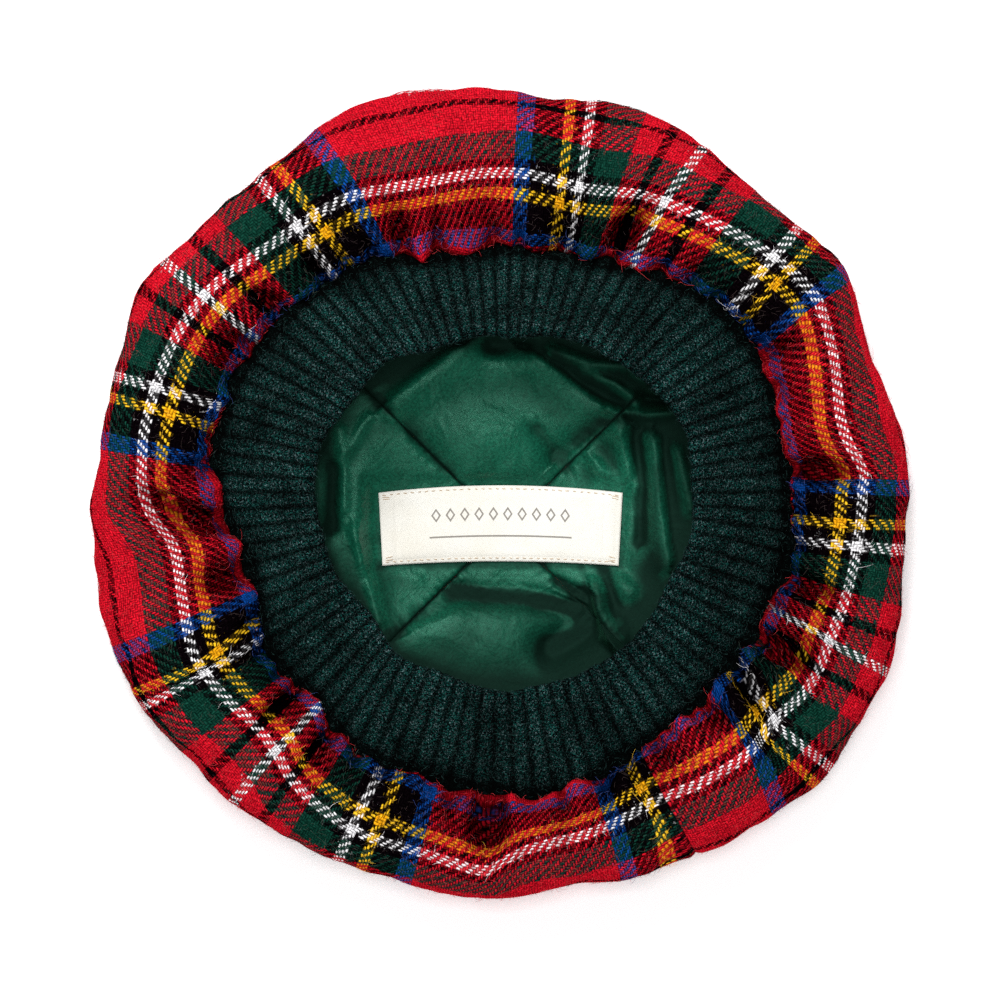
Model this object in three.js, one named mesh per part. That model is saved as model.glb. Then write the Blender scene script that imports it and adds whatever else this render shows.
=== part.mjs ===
// A tam o shanter of tartan cloth, lying crown down with its mouth up, in millimetres, +Z up.
// X and Y lie along the surface that the crown rests on.
import * as THREE from 'three';

// Crown
const RIM_RADIUS = 139.6;                         // middle radius of the widest outline
const RIM_HEIGHT = 21;                            // height of that outline above the surface
const STRIP_FLAT = 12;                            // the strip lies flat this far round the disc
const FOOT_FOLLOWS = 0.5;                         // how much of the outline's waves the foot keeps
const RIM_SLUMP = 3;                              // the outline sinks where it bulges, by this power
const DISC_RADIUS = 114.6;                        // seam between the disc and the rolled strip
const CLOTH_WALL = 1.8;                           // thickness of the tartan cloth
const ROLL_RISE = 6.5;                            // how far the cloth puffs up above the band seam
const CREST_SHARE = 0.4;                          // place of the puff's top between seam and rim
const ROLL_FULLNESS = 0.62;                       // how squarely the roll turns, 0.55 being round

// Knit band
const BAND_X = 2;                                 // the band lies off the middle of the crown
const BAND_Y = -5.2;
const SEAM_RADIUS = 96.2;                         // where the cloth is gathered to the band
const SEAM_HEIGHT = 36;                           // height of that seam above the surface
const MOUTH_RADIUS = 63.4;                        // inner edge of the band, where it folds back
const MOUTH_HEIGHT = 57;                          // middle of the fold above the surface
const BAND_THICKNESS = 5.4;                       // two layers of ribbed knit
const FOLD_DEPTH = 2.2;                           // length of the rounding at the fold
const SEAM_CLEARANCE = 0.6;                       // between the cloth's edge and the band under it
const BAND_TUCK = 3;                              // how far the band reaches in under the cloth
const RIB_PITCH = 5.5;                            // from rib to rib, half way across the band
const RIB_DEPTH = 1;                              // depth of the valley between two ribs

// Lining and label
const LINING_WALL = 1;
const APEX_X = 1.2;                               // where the four gores meet
const APEX_Y = -12;
const LINING_INSET = 0.8;                         // the lining's hem lies this far inside the band's end
const HEM_CLEARANCE = 0.7;                        // between the lining's hem and the band above it
const LABEL_LENGTH = 84;
const LABEL_WIDTH = 25.6;
const LABEL_WALL = 1;
const LABEL_X = -0.3;                             // middle of the label
const LABEL_Y = -12.3;
const LABEL_BOW = 2;                              // the label's middle is pulled this far up
const LABEL_MARGIN = 5;                           // width of flat lining round the label
const LABEL_CLEARANCE = 0.5;                      // between the label and the lining

const GAP = 0.3;                                  // clearance between neighbouring pieces

// Outlines as seen from above: deg turns anticlockwise from +X, share is of the named radius.
const RIM_OUTLINE = [
  { deg: 0, share: 1.005 }, { deg: 8, share: 0.975 }, { deg: 16, share: 0.961 },
  { deg: 25, share: 0.974 }, { deg: 33, share: 1.01 }, { deg: 43, share: 0.986 },
  { deg: 53, share: 0.973 }, { deg: 71, share: 1 }, { deg: 83, share: 0.983 },
  { deg: 95, share: 1.005 }, { deg: 107, share: 1.02 }, { deg: 120, share: 0.993 },
  { deg: 130, share: 0.985 }, { deg: 141, share: 1 }, { deg: 148, share: 1.028 },
  { deg: 157, share: 1 }, { deg: 168, share: 0.992 }, { deg: 180, share: 1.007 },
  { deg: 205, share: 1.036 }, { deg: 216, share: 1.019 }, { deg: 239, share: 0.998 },
  { deg: 256, share: 0.989 }, { deg: 276, share: 0.983 }, { deg: 290, share: 0.998 },
  { deg: 305, share: 1.026 }, { deg: 320, share: 1.053 }, { deg: 341, share: 1.035 },
  { deg: 349, share: 1.01 },
];
const SEAM_OUTLINE = [
  { deg: 6, share: 1.01 }, { deg: 29, share: 1.054 }, { deg: 42, share: 1.044 },
  { deg: 55, share: 0.997 }, { deg: 69, share: 0.934 }, { deg: 87, share: 0.93 },
  { deg: 108, share: 0.938 }, { deg: 116, share: 0.998 }, { deg: 130, share: 1.039 },
  { deg: 162, share: 1.083 }, { deg: 178, share: 1.05 }, { deg: 187, share: 0.993 },
  { deg: 197, share: 0.949 }, { deg: 204, share: 0.954 }, { deg: 212, share: 0.992 },
  { deg: 219, share: 1.001 }, { deg: 227, share: 0.967 }, { deg: 233, share: 0.998 },
  { deg: 246, share: 1.017 }, { deg: 267, share: 1.011 }, { deg: 276, share: 1.039 },
  { deg: 284, share: 1.034 }, { deg: 293, share: 0.994 }, { deg: 312, share: 0.979 },
  { deg: 325, share: 0.979 }, { deg: 346, share: 1.02 },
];
const MOUTH_OUTLINE = [
  { deg: 0, share: 1.018 }, { deg: 25, share: 1.044 }, { deg: 50, share: 1.013 },
  { deg: 75, share: 0.971 }, { deg: 100, share: 0.948 }, { deg: 125, share: 0.999 },
  { deg: 155, share: 1.069 }, { deg: 180, share: 1.057 }, { deg: 215, share: 0.979 },
  { deg: 240, share: 0.983 }, { deg: 280, share: 0.988 }, { deg: 320, share: 0.986 },
];
// Where the mouth stands high and where it sags, as shares of its height.
const MOUTH_LEVEL = [
  { deg: 20, share: 1 }, { deg: 90, share: 1.06 }, { deg: 165, share: 0.99 },
  { deg: 215, share: 1.01 }, { deg: 265, share: 0.93 }, { deg: 325, share: 0.97 },
];

// Creases that the gathering throws into the cloth. Width and lean turn about the crown in degrees,
// depth is a share of the roll's rise, a bulge's is negative, and reach a share of the way to the rim.
const CREASES = [
  { deg: 3.5, width: 3, depth: 0.75, reach: 0.6, lean: 2 },
  { deg: 28, width: 4, depth: 0.35, reach: 0.45, lean: 4 },
  { deg: 48, width: 4, depth: 0.3, reach: 0.4, lean: -2 },
  { deg: 65, width: 3.5, depth: 0.8, reach: 0.55, lean: -2 },
  { deg: 79, width: 3, depth: 0.45, reach: 0.4, lean: 1 },
  { deg: 95, width: 5, depth: 0.3, reach: 0.4, lean: 0 },
  { deg: 110, width: 3, depth: 0.75, reach: 0.5, lean: 3 },
  { deg: 130, width: 3, depth: 0.4, reach: 0.4, lean: -1 },
  { deg: 140, width: 3, depth: 0.5, reach: 0.45, lean: 3 },
  { deg: 154, width: 4, depth: 0.4, reach: 0.4, lean: 2 },
  { deg: 177, width: 3, depth: 0.4, reach: 0.5, lean: -2 },
  { deg: 188, width: 4, depth: 0.9, reach: 0.85, lean: -8 },
  { deg: 198, width: 4, depth: 0.45, reach: 0.4, lean: 2 },
  { deg: 211, width: 5, depth: -0.3, reach: 0.5, lean: 0 },
  { deg: 225, width: 3, depth: 0.6, reach: 0.45, lean: 1 },
  { deg: 235, width: 3, depth: 0.6, reach: 0.5, lean: 2 },
  { deg: 252, width: 5, depth: -0.2, reach: 0.5, lean: 0 },
  { deg: 268, width: 4, depth: 0.95, reach: 0.75, lean: -1 },
  { deg: 283, width: 5, depth: -0.35, reach: 0.6, lean: 2 },
  { deg: 299, width: 3, depth: 0.45, reach: 0.9, lean: 0 },
  { deg: 314, width: 3, depth: 0.4, reach: 0.45, lean: 2 },
  { deg: 323, width: 3, depth: 0.5, reach: 0.6, lean: 3 },
  { deg: 331, width: 3, depth: 0.75, reach: 0.7, lean: 4 },
  { deg: 344, width: 3, depth: 0.5, reach: 0.5, lean: 1 },
];
const GATHERS = 36;                               // small even puckers between the creases
const GATHER_DEPTH = 0.12;                        // share of the roll's rise
const GATHER_REACH = 0.3;                         // share of the way to the rim
const PUCKER_START = 0.14;                        // creases are full depth from this share outward
const CREASE_HOLD = 0.35;                         // share of a crease's reach at its full depth

// Soft folds in the lining, as straight ridges seen from above. Places and widths are shares of the
// mouth's radius, heights of the lining's rise, a valley's negative.
const LINING_FOLDS = [
  { x1: -0.57, y1: 0.53, x2: -0.31, y2: 0.75, width: 0.1, height: 0.2 },
  { x1: 0.15, y1: 0.77, x2: 0.64, y2: 0.44, width: 0.1, height: 0.16 },
  { x1: 0.07, y1: 0.53, x2: 0.34, y2: 0.18, width: 0.09, height: 0.07 },
  { x1: 0.85, y1: 0.29, x2: 0.85, y2: -0.36, width: 0.1, height: 0.16 },
  { x1: -0.23, y1: -0.61, x2: 0.21, y2: -0.61, width: 0.1, height: -0.08 },
  { x1: -0.25, y1: -0.82, x2: -0.1, y2: -0.82, width: 0.14, height: 0.14 },
  { x1: 0.5, y1: -0.58, x2: 0.5, y2: -0.8, width: 0.09, height: -0.12 },
  { x1: 0.62, y1: -0.72, x2: 0.6, y2: -0.86, width: 0.1, height: 0.18 },
  { x1: -0.82, y1: 0.07, x2: -0.82, y2: -0.58, width: 0.12, height: 0.12 },
];
// Where the gore seams reach the lining's hem, in degrees about the middle of the crown.
const GORE_SEAMS = [39.4, 139.7, 230.3, 310.8];
const LINING_POWER = 2.2;                          // power of the lining's rise from apex to hem
const FOLDS_END = 0.95;                           // share of the way to the hem where the folds end
const FOLDS_FADE = 0.2;                           // length of their fading, as such a share
const GORE_TIP = 0.02;                            // a gore's narrow end, as such a share

// Fineness of the meshes
const STATIONS = 132;                             // sections around the crown
const CURVE_STEPS = 3;                            // steps on each curve of a section
const GORE_STEPS_AROUND = 16;
const GORE_STEPS_OUT = 9;
const LABEL_STEPS = 10;                           // along the label
const LABEL_ROWS = 4;                             // across it
const SEARCH_PASSES = 6;                          // to find a place on the lining from its plan

const radians = THREE.MathUtils.degToRad;
const smooth = THREE.MathUtils.smoothstep;

// A smooth closed curve through a table's rows.
function shareAt(table, deg) {
  const turn = THREE.MathUtils.euclideanModulo(deg, 360);
  const rowAt = (index) => {
    const laps = Math.floor(index / table.length);
    const row = table[index - laps * table.length];
    return { deg: row.deg + 360 * laps, share: row.share };
  };
  const index = table.findLastIndex((row) => row.deg <= turn);
  const [before, from, to, after] = [index - 1, index, index + 1, index + 2].map(rowAt);
  const span = to.deg - from.deg;
  const step = (turn - from.deg) / span;
  const leave = span * (to.share - before.share) / (to.deg - before.deg);
  const arrive = span * (after.share - from.share) / (after.deg - from.deg);
  const square = step * step;
  const cube = square * step;
  return (2 * cube - 3 * square + 1) * from.share + (cube - 2 * square + step) * leave
    + (3 * square - 2 * cube) * to.share + (cube - square) * arrive;
}

// Distance from the crown's middle to a circle about the band's own middle.
function offsetRing(deg, radius) {
  const ray = new THREE.Vector2(Math.cos(radians(deg)), Math.sin(radians(deg)));
  const offset = new THREE.Vector2(BAND_X, BAND_Y);
  return ray.dot(offset) + Math.sqrt(radius ** 2 - ray.cross(offset) ** 2);
}

const rimRadius = (deg) => RIM_RADIUS * shareAt(RIM_OUTLINE, deg);
const footRadius = (deg) => (DISC_RADIUS + STRIP_FLAT)
  * THREE.MathUtils.lerp(1, shareAt(RIM_OUTLINE, deg), FOOT_FOLLOWS);
const rimHeight = (deg) => RIM_HEIGHT / shareAt(RIM_OUTLINE, deg) ** RIM_SLUMP;
const mouthHeight = (deg) => MOUTH_HEIGHT * shareAt(MOUTH_LEVEL, deg);
const seamRadius = (deg) => offsetRing(deg, SEAM_RADIUS) * shareAt(SEAM_OUTLINE, deg);
const mouthRadius = (deg) => offsetRing(deg, MOUTH_RADIUS) * shareAt(MOUTH_OUTLINE, deg);

// Signed turn from one direction to another, between -180 and 180 degrees.
const turnBetween = (from, to) => THREE.MathUtils.euclideanModulo(to - from + 180, 360) - 180;

// How far the creases and gathers lower the cloth at a share of the way from seam to rim.
function creaseDrop(deg, share) {
  const rise = smooth(share, 0, PUCKER_START);
  let drop = 0;
  for (const crease of CREASES) {
    const turn = turnBetween(crease.deg + crease.lean * share, deg) / crease.width;
    const fade = 1 - smooth(share, crease.reach * CREASE_HOLD, crease.reach);
    drop += crease.depth * Math.exp(-turn * turn) * fade;
  }
  const gather = (1 - Math.cos(radians(GATHERS * deg))) / 2;
  drop += GATHER_DEPTH * gather * (1 - smooth(share, 0, GATHER_REACH));
  return ROLL_RISE * rise * drop;
}

// The cloth's outer face in one section, from the band seam over the rim to the disc's edge.
function clothFace(deg) {
  const seam = seamRadius(deg);
  const rim = rimRadius(deg);
  const waist = rimHeight(deg);
  const crest = THREE.MathUtils.lerp(seam, rim, CREST_SHARE);
  const top = SEAM_HEIGHT + ROLL_RISE;
  const foot = footRadius(deg);
  const path = new THREE.Path();
  const turn = (from, to) => THREE.MathUtils.lerp(from, to, ROLL_FULLNESS);
  path.moveTo(seam, SEAM_HEIGHT);
  path.bezierCurveTo(seam, turn(SEAM_HEIGHT, top), turn(crest, seam), top, crest, top);
  path.bezierCurveTo(turn(crest, rim), top, rim, turn(waist, top), rim, waist);
  path.bezierCurveTo(rim, turn(waist, 0), turn(foot, rim), 0, foot, 0);
  path.lineTo(DISC_RADIUS + GAP, 0);
  return path.getPoints(CURVE_STEPS).map((point) => {
    const share = (point.x - seam) / (rim - seam);
    const upper = smooth(point.y, waist, SEAM_HEIGHT);
    return new THREE.Vector2(point.x, point.y - creaseDrop(deg, share) * upper);
  });
}

// The same line moved sideways by a wall's thickness, to the right of its way.
function offsetLine(line, wall) {
  return line.map((point, index) => {
    const before = line[Math.max(index - 1, 0)];
    const after = line[Math.min(index + 1, line.length - 1)];
    const way = after.clone().sub(before).normalize();
    return new THREE.Vector2(point.x + way.y * wall, point.y - way.x * wall);
  });
}

// One closed ring through sections of [radius, height] points at even stations round the middle.
function ringSolid(stations, sectionAt) {
  const positions = [];
  const faces = [];
  let count = 0;
  for (let station = 0; station < stations; station += 1) {
    const deg = 360 * station / stations;
    const section = sectionAt(deg);
    count = section.length;
    for (const point of section) {
      positions.push(point.x * Math.cos(radians(deg)), point.x * Math.sin(radians(deg)), point.y);
    }
  }
  for (let station = 0; station < stations; station += 1) {
    const here = station * count;
    const next = ((station + 1) % stations) * count;
    for (let point = 0; point < count; point += 1) {
      const beside = (point + 1) % count;
      faces.push(here + point, next + point, next + beside);
      faces.push(here + point, next + beside, here + beside);
    }
  }
  return solidFrom(positions, faces);
}

function solidFrom(positions, faces) {
  const geometry = new THREE.BufferGeometry();
  geometry.setAttribute('position', new THREE.Float32BufferAttribute(positions, 3));
  geometry.setIndex(faces);
  geometry.computeVertexNormals();
  return geometry;
}

// One closed sheet between an upper and a lower grid of points, rows by columns.
function sheetSolid(upper, lower) {
  const rows = upper.length;
  const columns = upper[0].length;
  const positions = [...upper.flat(), ...lower.flat()].flatMap((point) => point.toArray());
  const faces = [];
  const top = (row, column) => row * columns + column;
  const bottom = (row, column) => rows * columns + top(row, column);
  const quad = (a, b, c, d) => faces.push(a, b, c, a, c, d);
  for (let row = 0; row + 1 < rows; row += 1) {
    for (let column = 0; column + 1 < columns; column += 1) {
      quad(top(row, column), top(row + 1, column), top(row + 1, column + 1), top(row, column + 1));
      quad(bottom(row, column), bottom(row, column + 1), bottom(row + 1, column + 1),
        bottom(row + 1, column));
    }
    quad(top(row, 0), bottom(row, 0), bottom(row + 1, 0), top(row + 1, 0));
    const last = columns - 1;
    quad(top(row + 1, last), bottom(row + 1, last), bottom(row, last), top(row, last));
  }
  for (let column = 0; column + 1 < columns; column += 1) {
    const last = rows - 1;
    quad(top(0, column + 1), bottom(0, column + 1), bottom(0, column), top(0, column));
    quad(top(last, column), bottom(last, column), bottom(last, column + 1), top(last, column + 1));
  }
  return solidFrom(positions, faces);
}

// The strip of cloth, as a wall between its outer and its inner face.
function crownSide() {
  return ringSolid(STATIONS, (deg) => {
    const outer = clothFace(deg);
    const inner = offsetLine(outer, CLOTH_WALL);
    return [...outer, ...inner.reverse()].reverse();
  });
}

// The disc, which ends edge to edge with the strip and lies flat on the surface.
function crownTop() {
  const outline = [];
  for (let station = 0; station < STATIONS; station += 1) {
    const deg = 360 * station / STATIONS;
    outline.push(new THREE.Vector2(Math.cos(radians(deg)), Math.sin(radians(deg))));
    outline[station].multiplyScalar(DISC_RADIUS);
  }
  return new THREE.ExtrudeGeometry(new THREE.Shape(outline), { depth: CLOTH_WALL, bevelEnabled: false });
}

// The way from the cloth seam to the mouth in one section of the band.
function bandWay(deg) {
  return new THREE.Vector2(mouthRadius(deg) - seamRadius(deg), mouthHeight(deg) - SEAM_HEIGHT);
}

// A point of the band, a distance inward from the cloth seam and a depth below its upper face.
function bandPoint(deg, inward, depth) {
  const way = bandWay(deg).normalize();
  const below = new THREE.Vector2(way.y, -way.x).multiplyScalar(-1);
  const start = new THREE.Vector2(seamRadius(deg), SEAM_HEIGHT).addScaledVector(below, SEAM_CLEARANCE);
  return start.addScaledVector(way, inward).addScaledVector(below, depth);
}

const ribCount = () => {
  const middle = (SEAM_RADIUS + MOUTH_RADIUS) / 2;
  return Math.round(2 * Math.PI * middle / RIB_PITCH);
};

// The doubled knit: ribs run across it on both faces and round the fold at the mouth.
function knitBand() {
  const ribs = ribCount();
  return ringSolid(2 * ribs, (deg) => {
    const valley = RIB_DEPTH * (1 - Math.cos(radians(ribs * deg))) / 2;
    const under = BAND_THICKNESS - valley;
    const width = bandWay(deg).length() - valley;
    return [
      bandPoint(deg, -BAND_TUCK, valley),
      bandPoint(deg, -BAND_TUCK, under),
      bandPoint(deg, width / 2, under),
      bandPoint(deg, width - FOLD_DEPTH, under),
      bandPoint(deg, width, BAND_THICKNESS / 2),
      bandPoint(deg, width - FOLD_DEPTH, valley),
      bandPoint(deg, width / 2, valley),
    ].reverse();
  });
}

// The lining's hem at one angle: just under the band's lower face, near its end.
function liningHem(deg) {
  const inward = -BAND_TUCK + LINING_INSET;
  const edge = bandPoint(deg, inward, BAND_THICKNESS + HEM_CLEARANCE);
  return new THREE.Vector3(edge.x * Math.cos(radians(deg)), edge.x * Math.sin(radians(deg)), edge.y);
}

// Height that the folds give the lining at a place seen from above. They stay clear of the label.
function foldRise(place) {
  let rise = 0;
  for (const fold of LINING_FOLDS) {
    const from = new THREE.Vector2(fold.x1, fold.y1).multiplyScalar(MOUTH_RADIUS);
    const along = new THREE.Vector2(fold.x2, fold.y2).multiplyScalar(MOUTH_RADIUS).sub(from);
    const share = THREE.MathUtils.clamp(place.clone().sub(from).dot(along) / along.lengthSq(), 0, 1);
    const away = place.distanceTo(from.addScaledVector(along, share)) / (fold.width * MOUTH_RADIUS);
    rise += fold.height * Math.exp(-away * away);
  }
  const aside = Math.abs(place.x - LABEL_X) - LABEL_LENGTH / 2;
  const beyond = Math.abs(place.y - LABEL_Y) - LABEL_WIDTH / 2;
  return rise * smooth(Math.max(aside, beyond), LABEL_MARGIN, 3 * LABEL_MARGIN);
}

// A point of the lining's upper face, on the way from the apex to the hem.
function liningPoint(deg, share) {
  const hem = liningHem(deg);
  const floor = CLOTH_WALL + GAP + LINING_WALL;
  const x = THREE.MathUtils.lerp(APEX_X, hem.x, share);
  const y = THREE.MathUtils.lerp(APEX_Y, hem.y, share);
  const rise = hem.z - floor;
  const fade = 1 - smooth(share, FOLDS_END - FOLDS_FADE, FOLDS_END);
  const fold = foldRise(new THREE.Vector2(x, y)) * fade;
  const height = floor + rise * share ** LINING_POWER;
  return new THREE.Vector3(x, y, Math.max(height + rise * fold, floor));
}

// One gore of the lining between two seams, a hair clear of its neighbours.
function liningGore(from, to) {
  const upper = [];
  const lower = [];
  for (let row = 0; row <= GORE_STEPS_OUT; row += 1) {
    const share = THREE.MathUtils.lerp(GORE_TIP, 1, row / GORE_STEPS_OUT);
    const margin = THREE.MathUtils.radToDeg(GAP / (share * 2 * SEAM_RADIUS));
    upper.push([]);
    lower.push([]);
    for (let column = 0; column <= GORE_STEPS_AROUND; column += 1) {
      const deg = THREE.MathUtils.lerp(from + margin, to - margin, column / GORE_STEPS_AROUND);
      const point = liningPoint(deg, share);
      upper[row].push(point);
      lower[row].push(point.clone().setZ(point.z - LINING_WALL));
    }
  }
  return sheetSolid(upper, lower);
}

// Height of the lining at a place near the apex, where no fold lies.
function liningHeight(place) {
  const apex = new THREE.Vector2(APEX_X, APEX_Y);
  const away = place.clone().sub(apex);
  let share = 0;
  let deg = THREE.MathUtils.radToDeg(away.angle());
  for (let pass = 0; pass < SEARCH_PASSES; pass += 1) {
    const hem = liningHem(deg);
    const reach = new THREE.Vector2(hem.x, hem.y).sub(apex);
    share = away.length() / reach.length();
    deg += THREE.MathUtils.radToDeg(away.angle() - reach.angle());
  }
  return liningPoint(deg, share).z;
}

// The woven label, sewn flat to the lining across the apex.
function labelGeometry() {
  const upper = [];
  const lower = [];
  for (let row = 0; row <= LABEL_ROWS; row += 1) {
    upper.push([]);
    lower.push([]);
    for (let column = 0; column <= LABEL_STEPS; column += 1) {
      const along = column / LABEL_STEPS * 2 - 1;
      const across = row / LABEL_ROWS * 2 - 1;
      const place = new THREE.Vector2(
        LABEL_X + along * LABEL_LENGTH / 2,
        LABEL_Y - across * LABEL_WIDTH / 2 + LABEL_BOW * (0.5 - along * along),
      );
      const height = liningHeight(place) + LABEL_CLEARANCE;
      lower[row].push(new THREE.Vector3(place.x, place.y, height));
      upper[row].push(new THREE.Vector3(place.x, place.y, height + LABEL_WALL));
    }
  }
  return sheetSolid(upper, lower);
}

const tartan = { color: 0xb4202b, roughness: 0.95, metalness: 0 };
const knit = { color: 0x12302b, roughness: 0.95, metalness: 0 };
const satin = { color: 0x0f5c3c, roughness: 0.4, metalness: 0 };
const woven = { color: 0xe9dfcb, roughness: 0.8, metalness: 0 };

const hat = new THREE.Group();

function addPiece(name, geometry, finish) {
  const piece = new THREE.Mesh(geometry, new THREE.MeshStandardMaterial(finish));
  piece.name = name;
  hat.add(piece);
}

addPiece('crown_top', crownTop(), tartan);
addPiece('crown_side', crownSide(), tartan);
addPiece('knit_band', knitBand(), knit);
GORE_SEAMS.forEach((deg, index) => {
  const next = index + 1 < GORE_SEAMS.length ? GORE_SEAMS[index + 1] : GORE_SEAMS[0] + 360;
  addPiece(`lining_panel_${index + 1}`, liningGore(deg, next), satin);
});
addPiece('label', labelGeometry(), woven);

// The origin is the middle of the hat's box, on the surface that it lies on.
const middle = new THREE.Box3().setFromObject(hat).getCenter(new THREE.Vector3());
hat.position.set(-middle.x, -middle.y, 0);

export default hat;
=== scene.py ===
"""A tam o' shanter of tartan wool, lying crown down and seen from straight above.

Shapes are worked out in millimetres about the middle of the crown, then moved onto the frame.
"""
import math

import bpy
import numpy as np
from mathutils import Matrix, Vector


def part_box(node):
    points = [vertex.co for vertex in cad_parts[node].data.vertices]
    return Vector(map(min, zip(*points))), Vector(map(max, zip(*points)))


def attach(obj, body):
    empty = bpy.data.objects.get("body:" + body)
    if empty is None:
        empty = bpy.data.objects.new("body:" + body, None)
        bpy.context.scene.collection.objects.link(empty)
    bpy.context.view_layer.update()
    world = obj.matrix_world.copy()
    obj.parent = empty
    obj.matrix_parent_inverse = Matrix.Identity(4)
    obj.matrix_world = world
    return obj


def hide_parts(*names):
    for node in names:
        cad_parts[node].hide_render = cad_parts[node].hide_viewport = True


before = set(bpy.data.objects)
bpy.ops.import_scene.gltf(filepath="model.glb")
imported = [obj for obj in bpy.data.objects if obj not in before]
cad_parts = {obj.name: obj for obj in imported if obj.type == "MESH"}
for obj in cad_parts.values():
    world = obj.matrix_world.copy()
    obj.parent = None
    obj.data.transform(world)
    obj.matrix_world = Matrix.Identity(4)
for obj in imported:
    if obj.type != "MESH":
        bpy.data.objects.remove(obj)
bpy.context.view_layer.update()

MM = 0.001

# Crown
RIM_RADIUS = 139.6
RIM_HEIGHT = 21.0
RIM_SLUMP = 3.0
STRIP_FLAT = 12.0
FOOT_FOLLOWS = 0.5
DISC_RADIUS = 114.6
CLOTH_WALL = 1.8
ROLL_RISE = 6.5
CREST_SHARE = 0.4
ROLL_FULLNESS = 0.62

# Knit band
BAND_X, BAND_Y = 2.0, -5.2
SEAM_RADIUS = 96.2
SEAM_HEIGHT = 36.0
MOUTH_RADIUS = 63.4
MOUTH_HEIGHT = 57.0
BAND_THICKNESS = 5.4
SEAM_CLEARANCE = 0.6
BAND_TUCK = 3.0
RIBS = 90
RIB_DEPTH = 0.8
KNIT_ROW = 2.1
TOP_BULGE, UNDER_BULGE = 1.3, 0.8

# Lining and label
LINING_WALL = 0.8
APEX_X, APEX_Y = 1.2, -12.0
LINING_FLOOR = 3.1
LINING_POWER = 2.6
LINING_INSET = 0.8
HEM_CLEARANCE = 0.7
GORE_SEAMS = (39.4, 139.7, 230.3, 310.8)
GORE_GAP, GORE_LENGTH = 0.025, 92.0
LABEL_LENGTH, LABEL_WIDTH, LABEL_WALL = 84.0, 25.6, 0.9
LABEL_X, LABEL_Y = -0.3, -12.3
LABEL_BOW = 2.0
LABEL_TOP, LABEL_FOOT = 2.7, -23.7
HALF_AT_TOP, HALF_AT_FOOT = 42.3, 40.9

# Outlines as seen from above: (degrees anticlockwise from +X, share of the named radius)
RIM_OUTLINE = (
    (0, 1.01), (8, 0.996), (16, 0.983), (25, 0.979), (33, 1.011), (43, 0.982), (53, 0.979), (71, 1.005),
    (83, 0.986), (95, 1.005), (107, 1.021), (118, 1.008), (130, 0.982), (141, 0.998), (149, 1.024),
    (158, 1.009), (168, 0.994), (180, 1.009), (193, 1.02), (204, 1.039), (218, 1.021), (237, 1.004),
    (252, 0.99), (264, 1.001), (278, 0.989), (290, 1.002), (305, 1.028), (318, 1.056), (330, 1.057),
    (341, 1.036), (349, 1.012), (355, 1.001),
)
SEAM_OUTLINE = (
    (6, 1.01), (29, 1.054), (42, 1.044), (55, 0.997), (69, 0.934), (87, 0.93), (108, 0.938), (116, 0.998),
    (130, 1.039), (162, 1.083), (178, 1.05), (187, 0.993), (197, 0.949), (204, 0.954), (212, 0.992),
    (219, 1.001), (227, 0.967), (233, 0.998), (246, 1.017), (267, 1.011), (276, 1.039), (284, 1.034),
    (293, 0.994), (312, 0.979), (325, 0.979), (346, 1.02),
)
MOUTH_OUTLINE = (
    (0, 1.018), (25, 1.044), (50, 1.013), (75, 0.971), (100, 0.948), (125, 0.999), (155, 1.069),
    (180, 1.057), (215, 0.979), (240, 0.983), (280, 0.988), (320, 0.986),
)
MOUTH_LEVEL = ((20, 1.0), (90, 1.06), (165, 0.99), (215, 1.01), (265, 0.93), (325, 0.97))

# Creases in the cloth: (degrees, width in degrees, depth as a share of the roll's rise, reach as a
# share of the way to the rim, lean in degrees)
CREASES = (
    (3.5, 3, 0.75, 0.6, 2), (28, 4, 0.35, 0.45, 4), (48, 4, 0.3, 0.4, -2), (65, 3.5, 0.8, 0.55, -2),
    (79, 3, 0.45, 0.4, 1), (95, 5, 0.3, 0.4, 0), (110, 3, 0.75, 0.5, 3), (130, 3, 0.4, 0.4, -1),
    (140, 3, 0.5, 0.45, 3), (154, 4, 0.4, 0.4, 2), (177, 3, 0.4, 0.5, -2), (188, 4, 0.9, 0.85, -8),
    (198, 4, 0.45, 0.4, 2), (211, 5, -0.3, 0.5, 0), (225, 3, 0.6, 0.45, 1), (235, 3, 0.6, 0.5, 2),
    (252, 5, -0.2, 0.5, 0), (268, 4, 0.95, 0.75, -1), (283, 5, -0.35, 0.6, 2), (299, 3, 0.45, 0.9, 0),
    (314, 3, 0.4, 0.45, 2), (323, 3, 0.5, 0.6, 3), (331, 3, 0.75, 0.7, 4), (344, 3, 0.5, 0.5, 1),
)
CREASE_HOLD = 0.35
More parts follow.
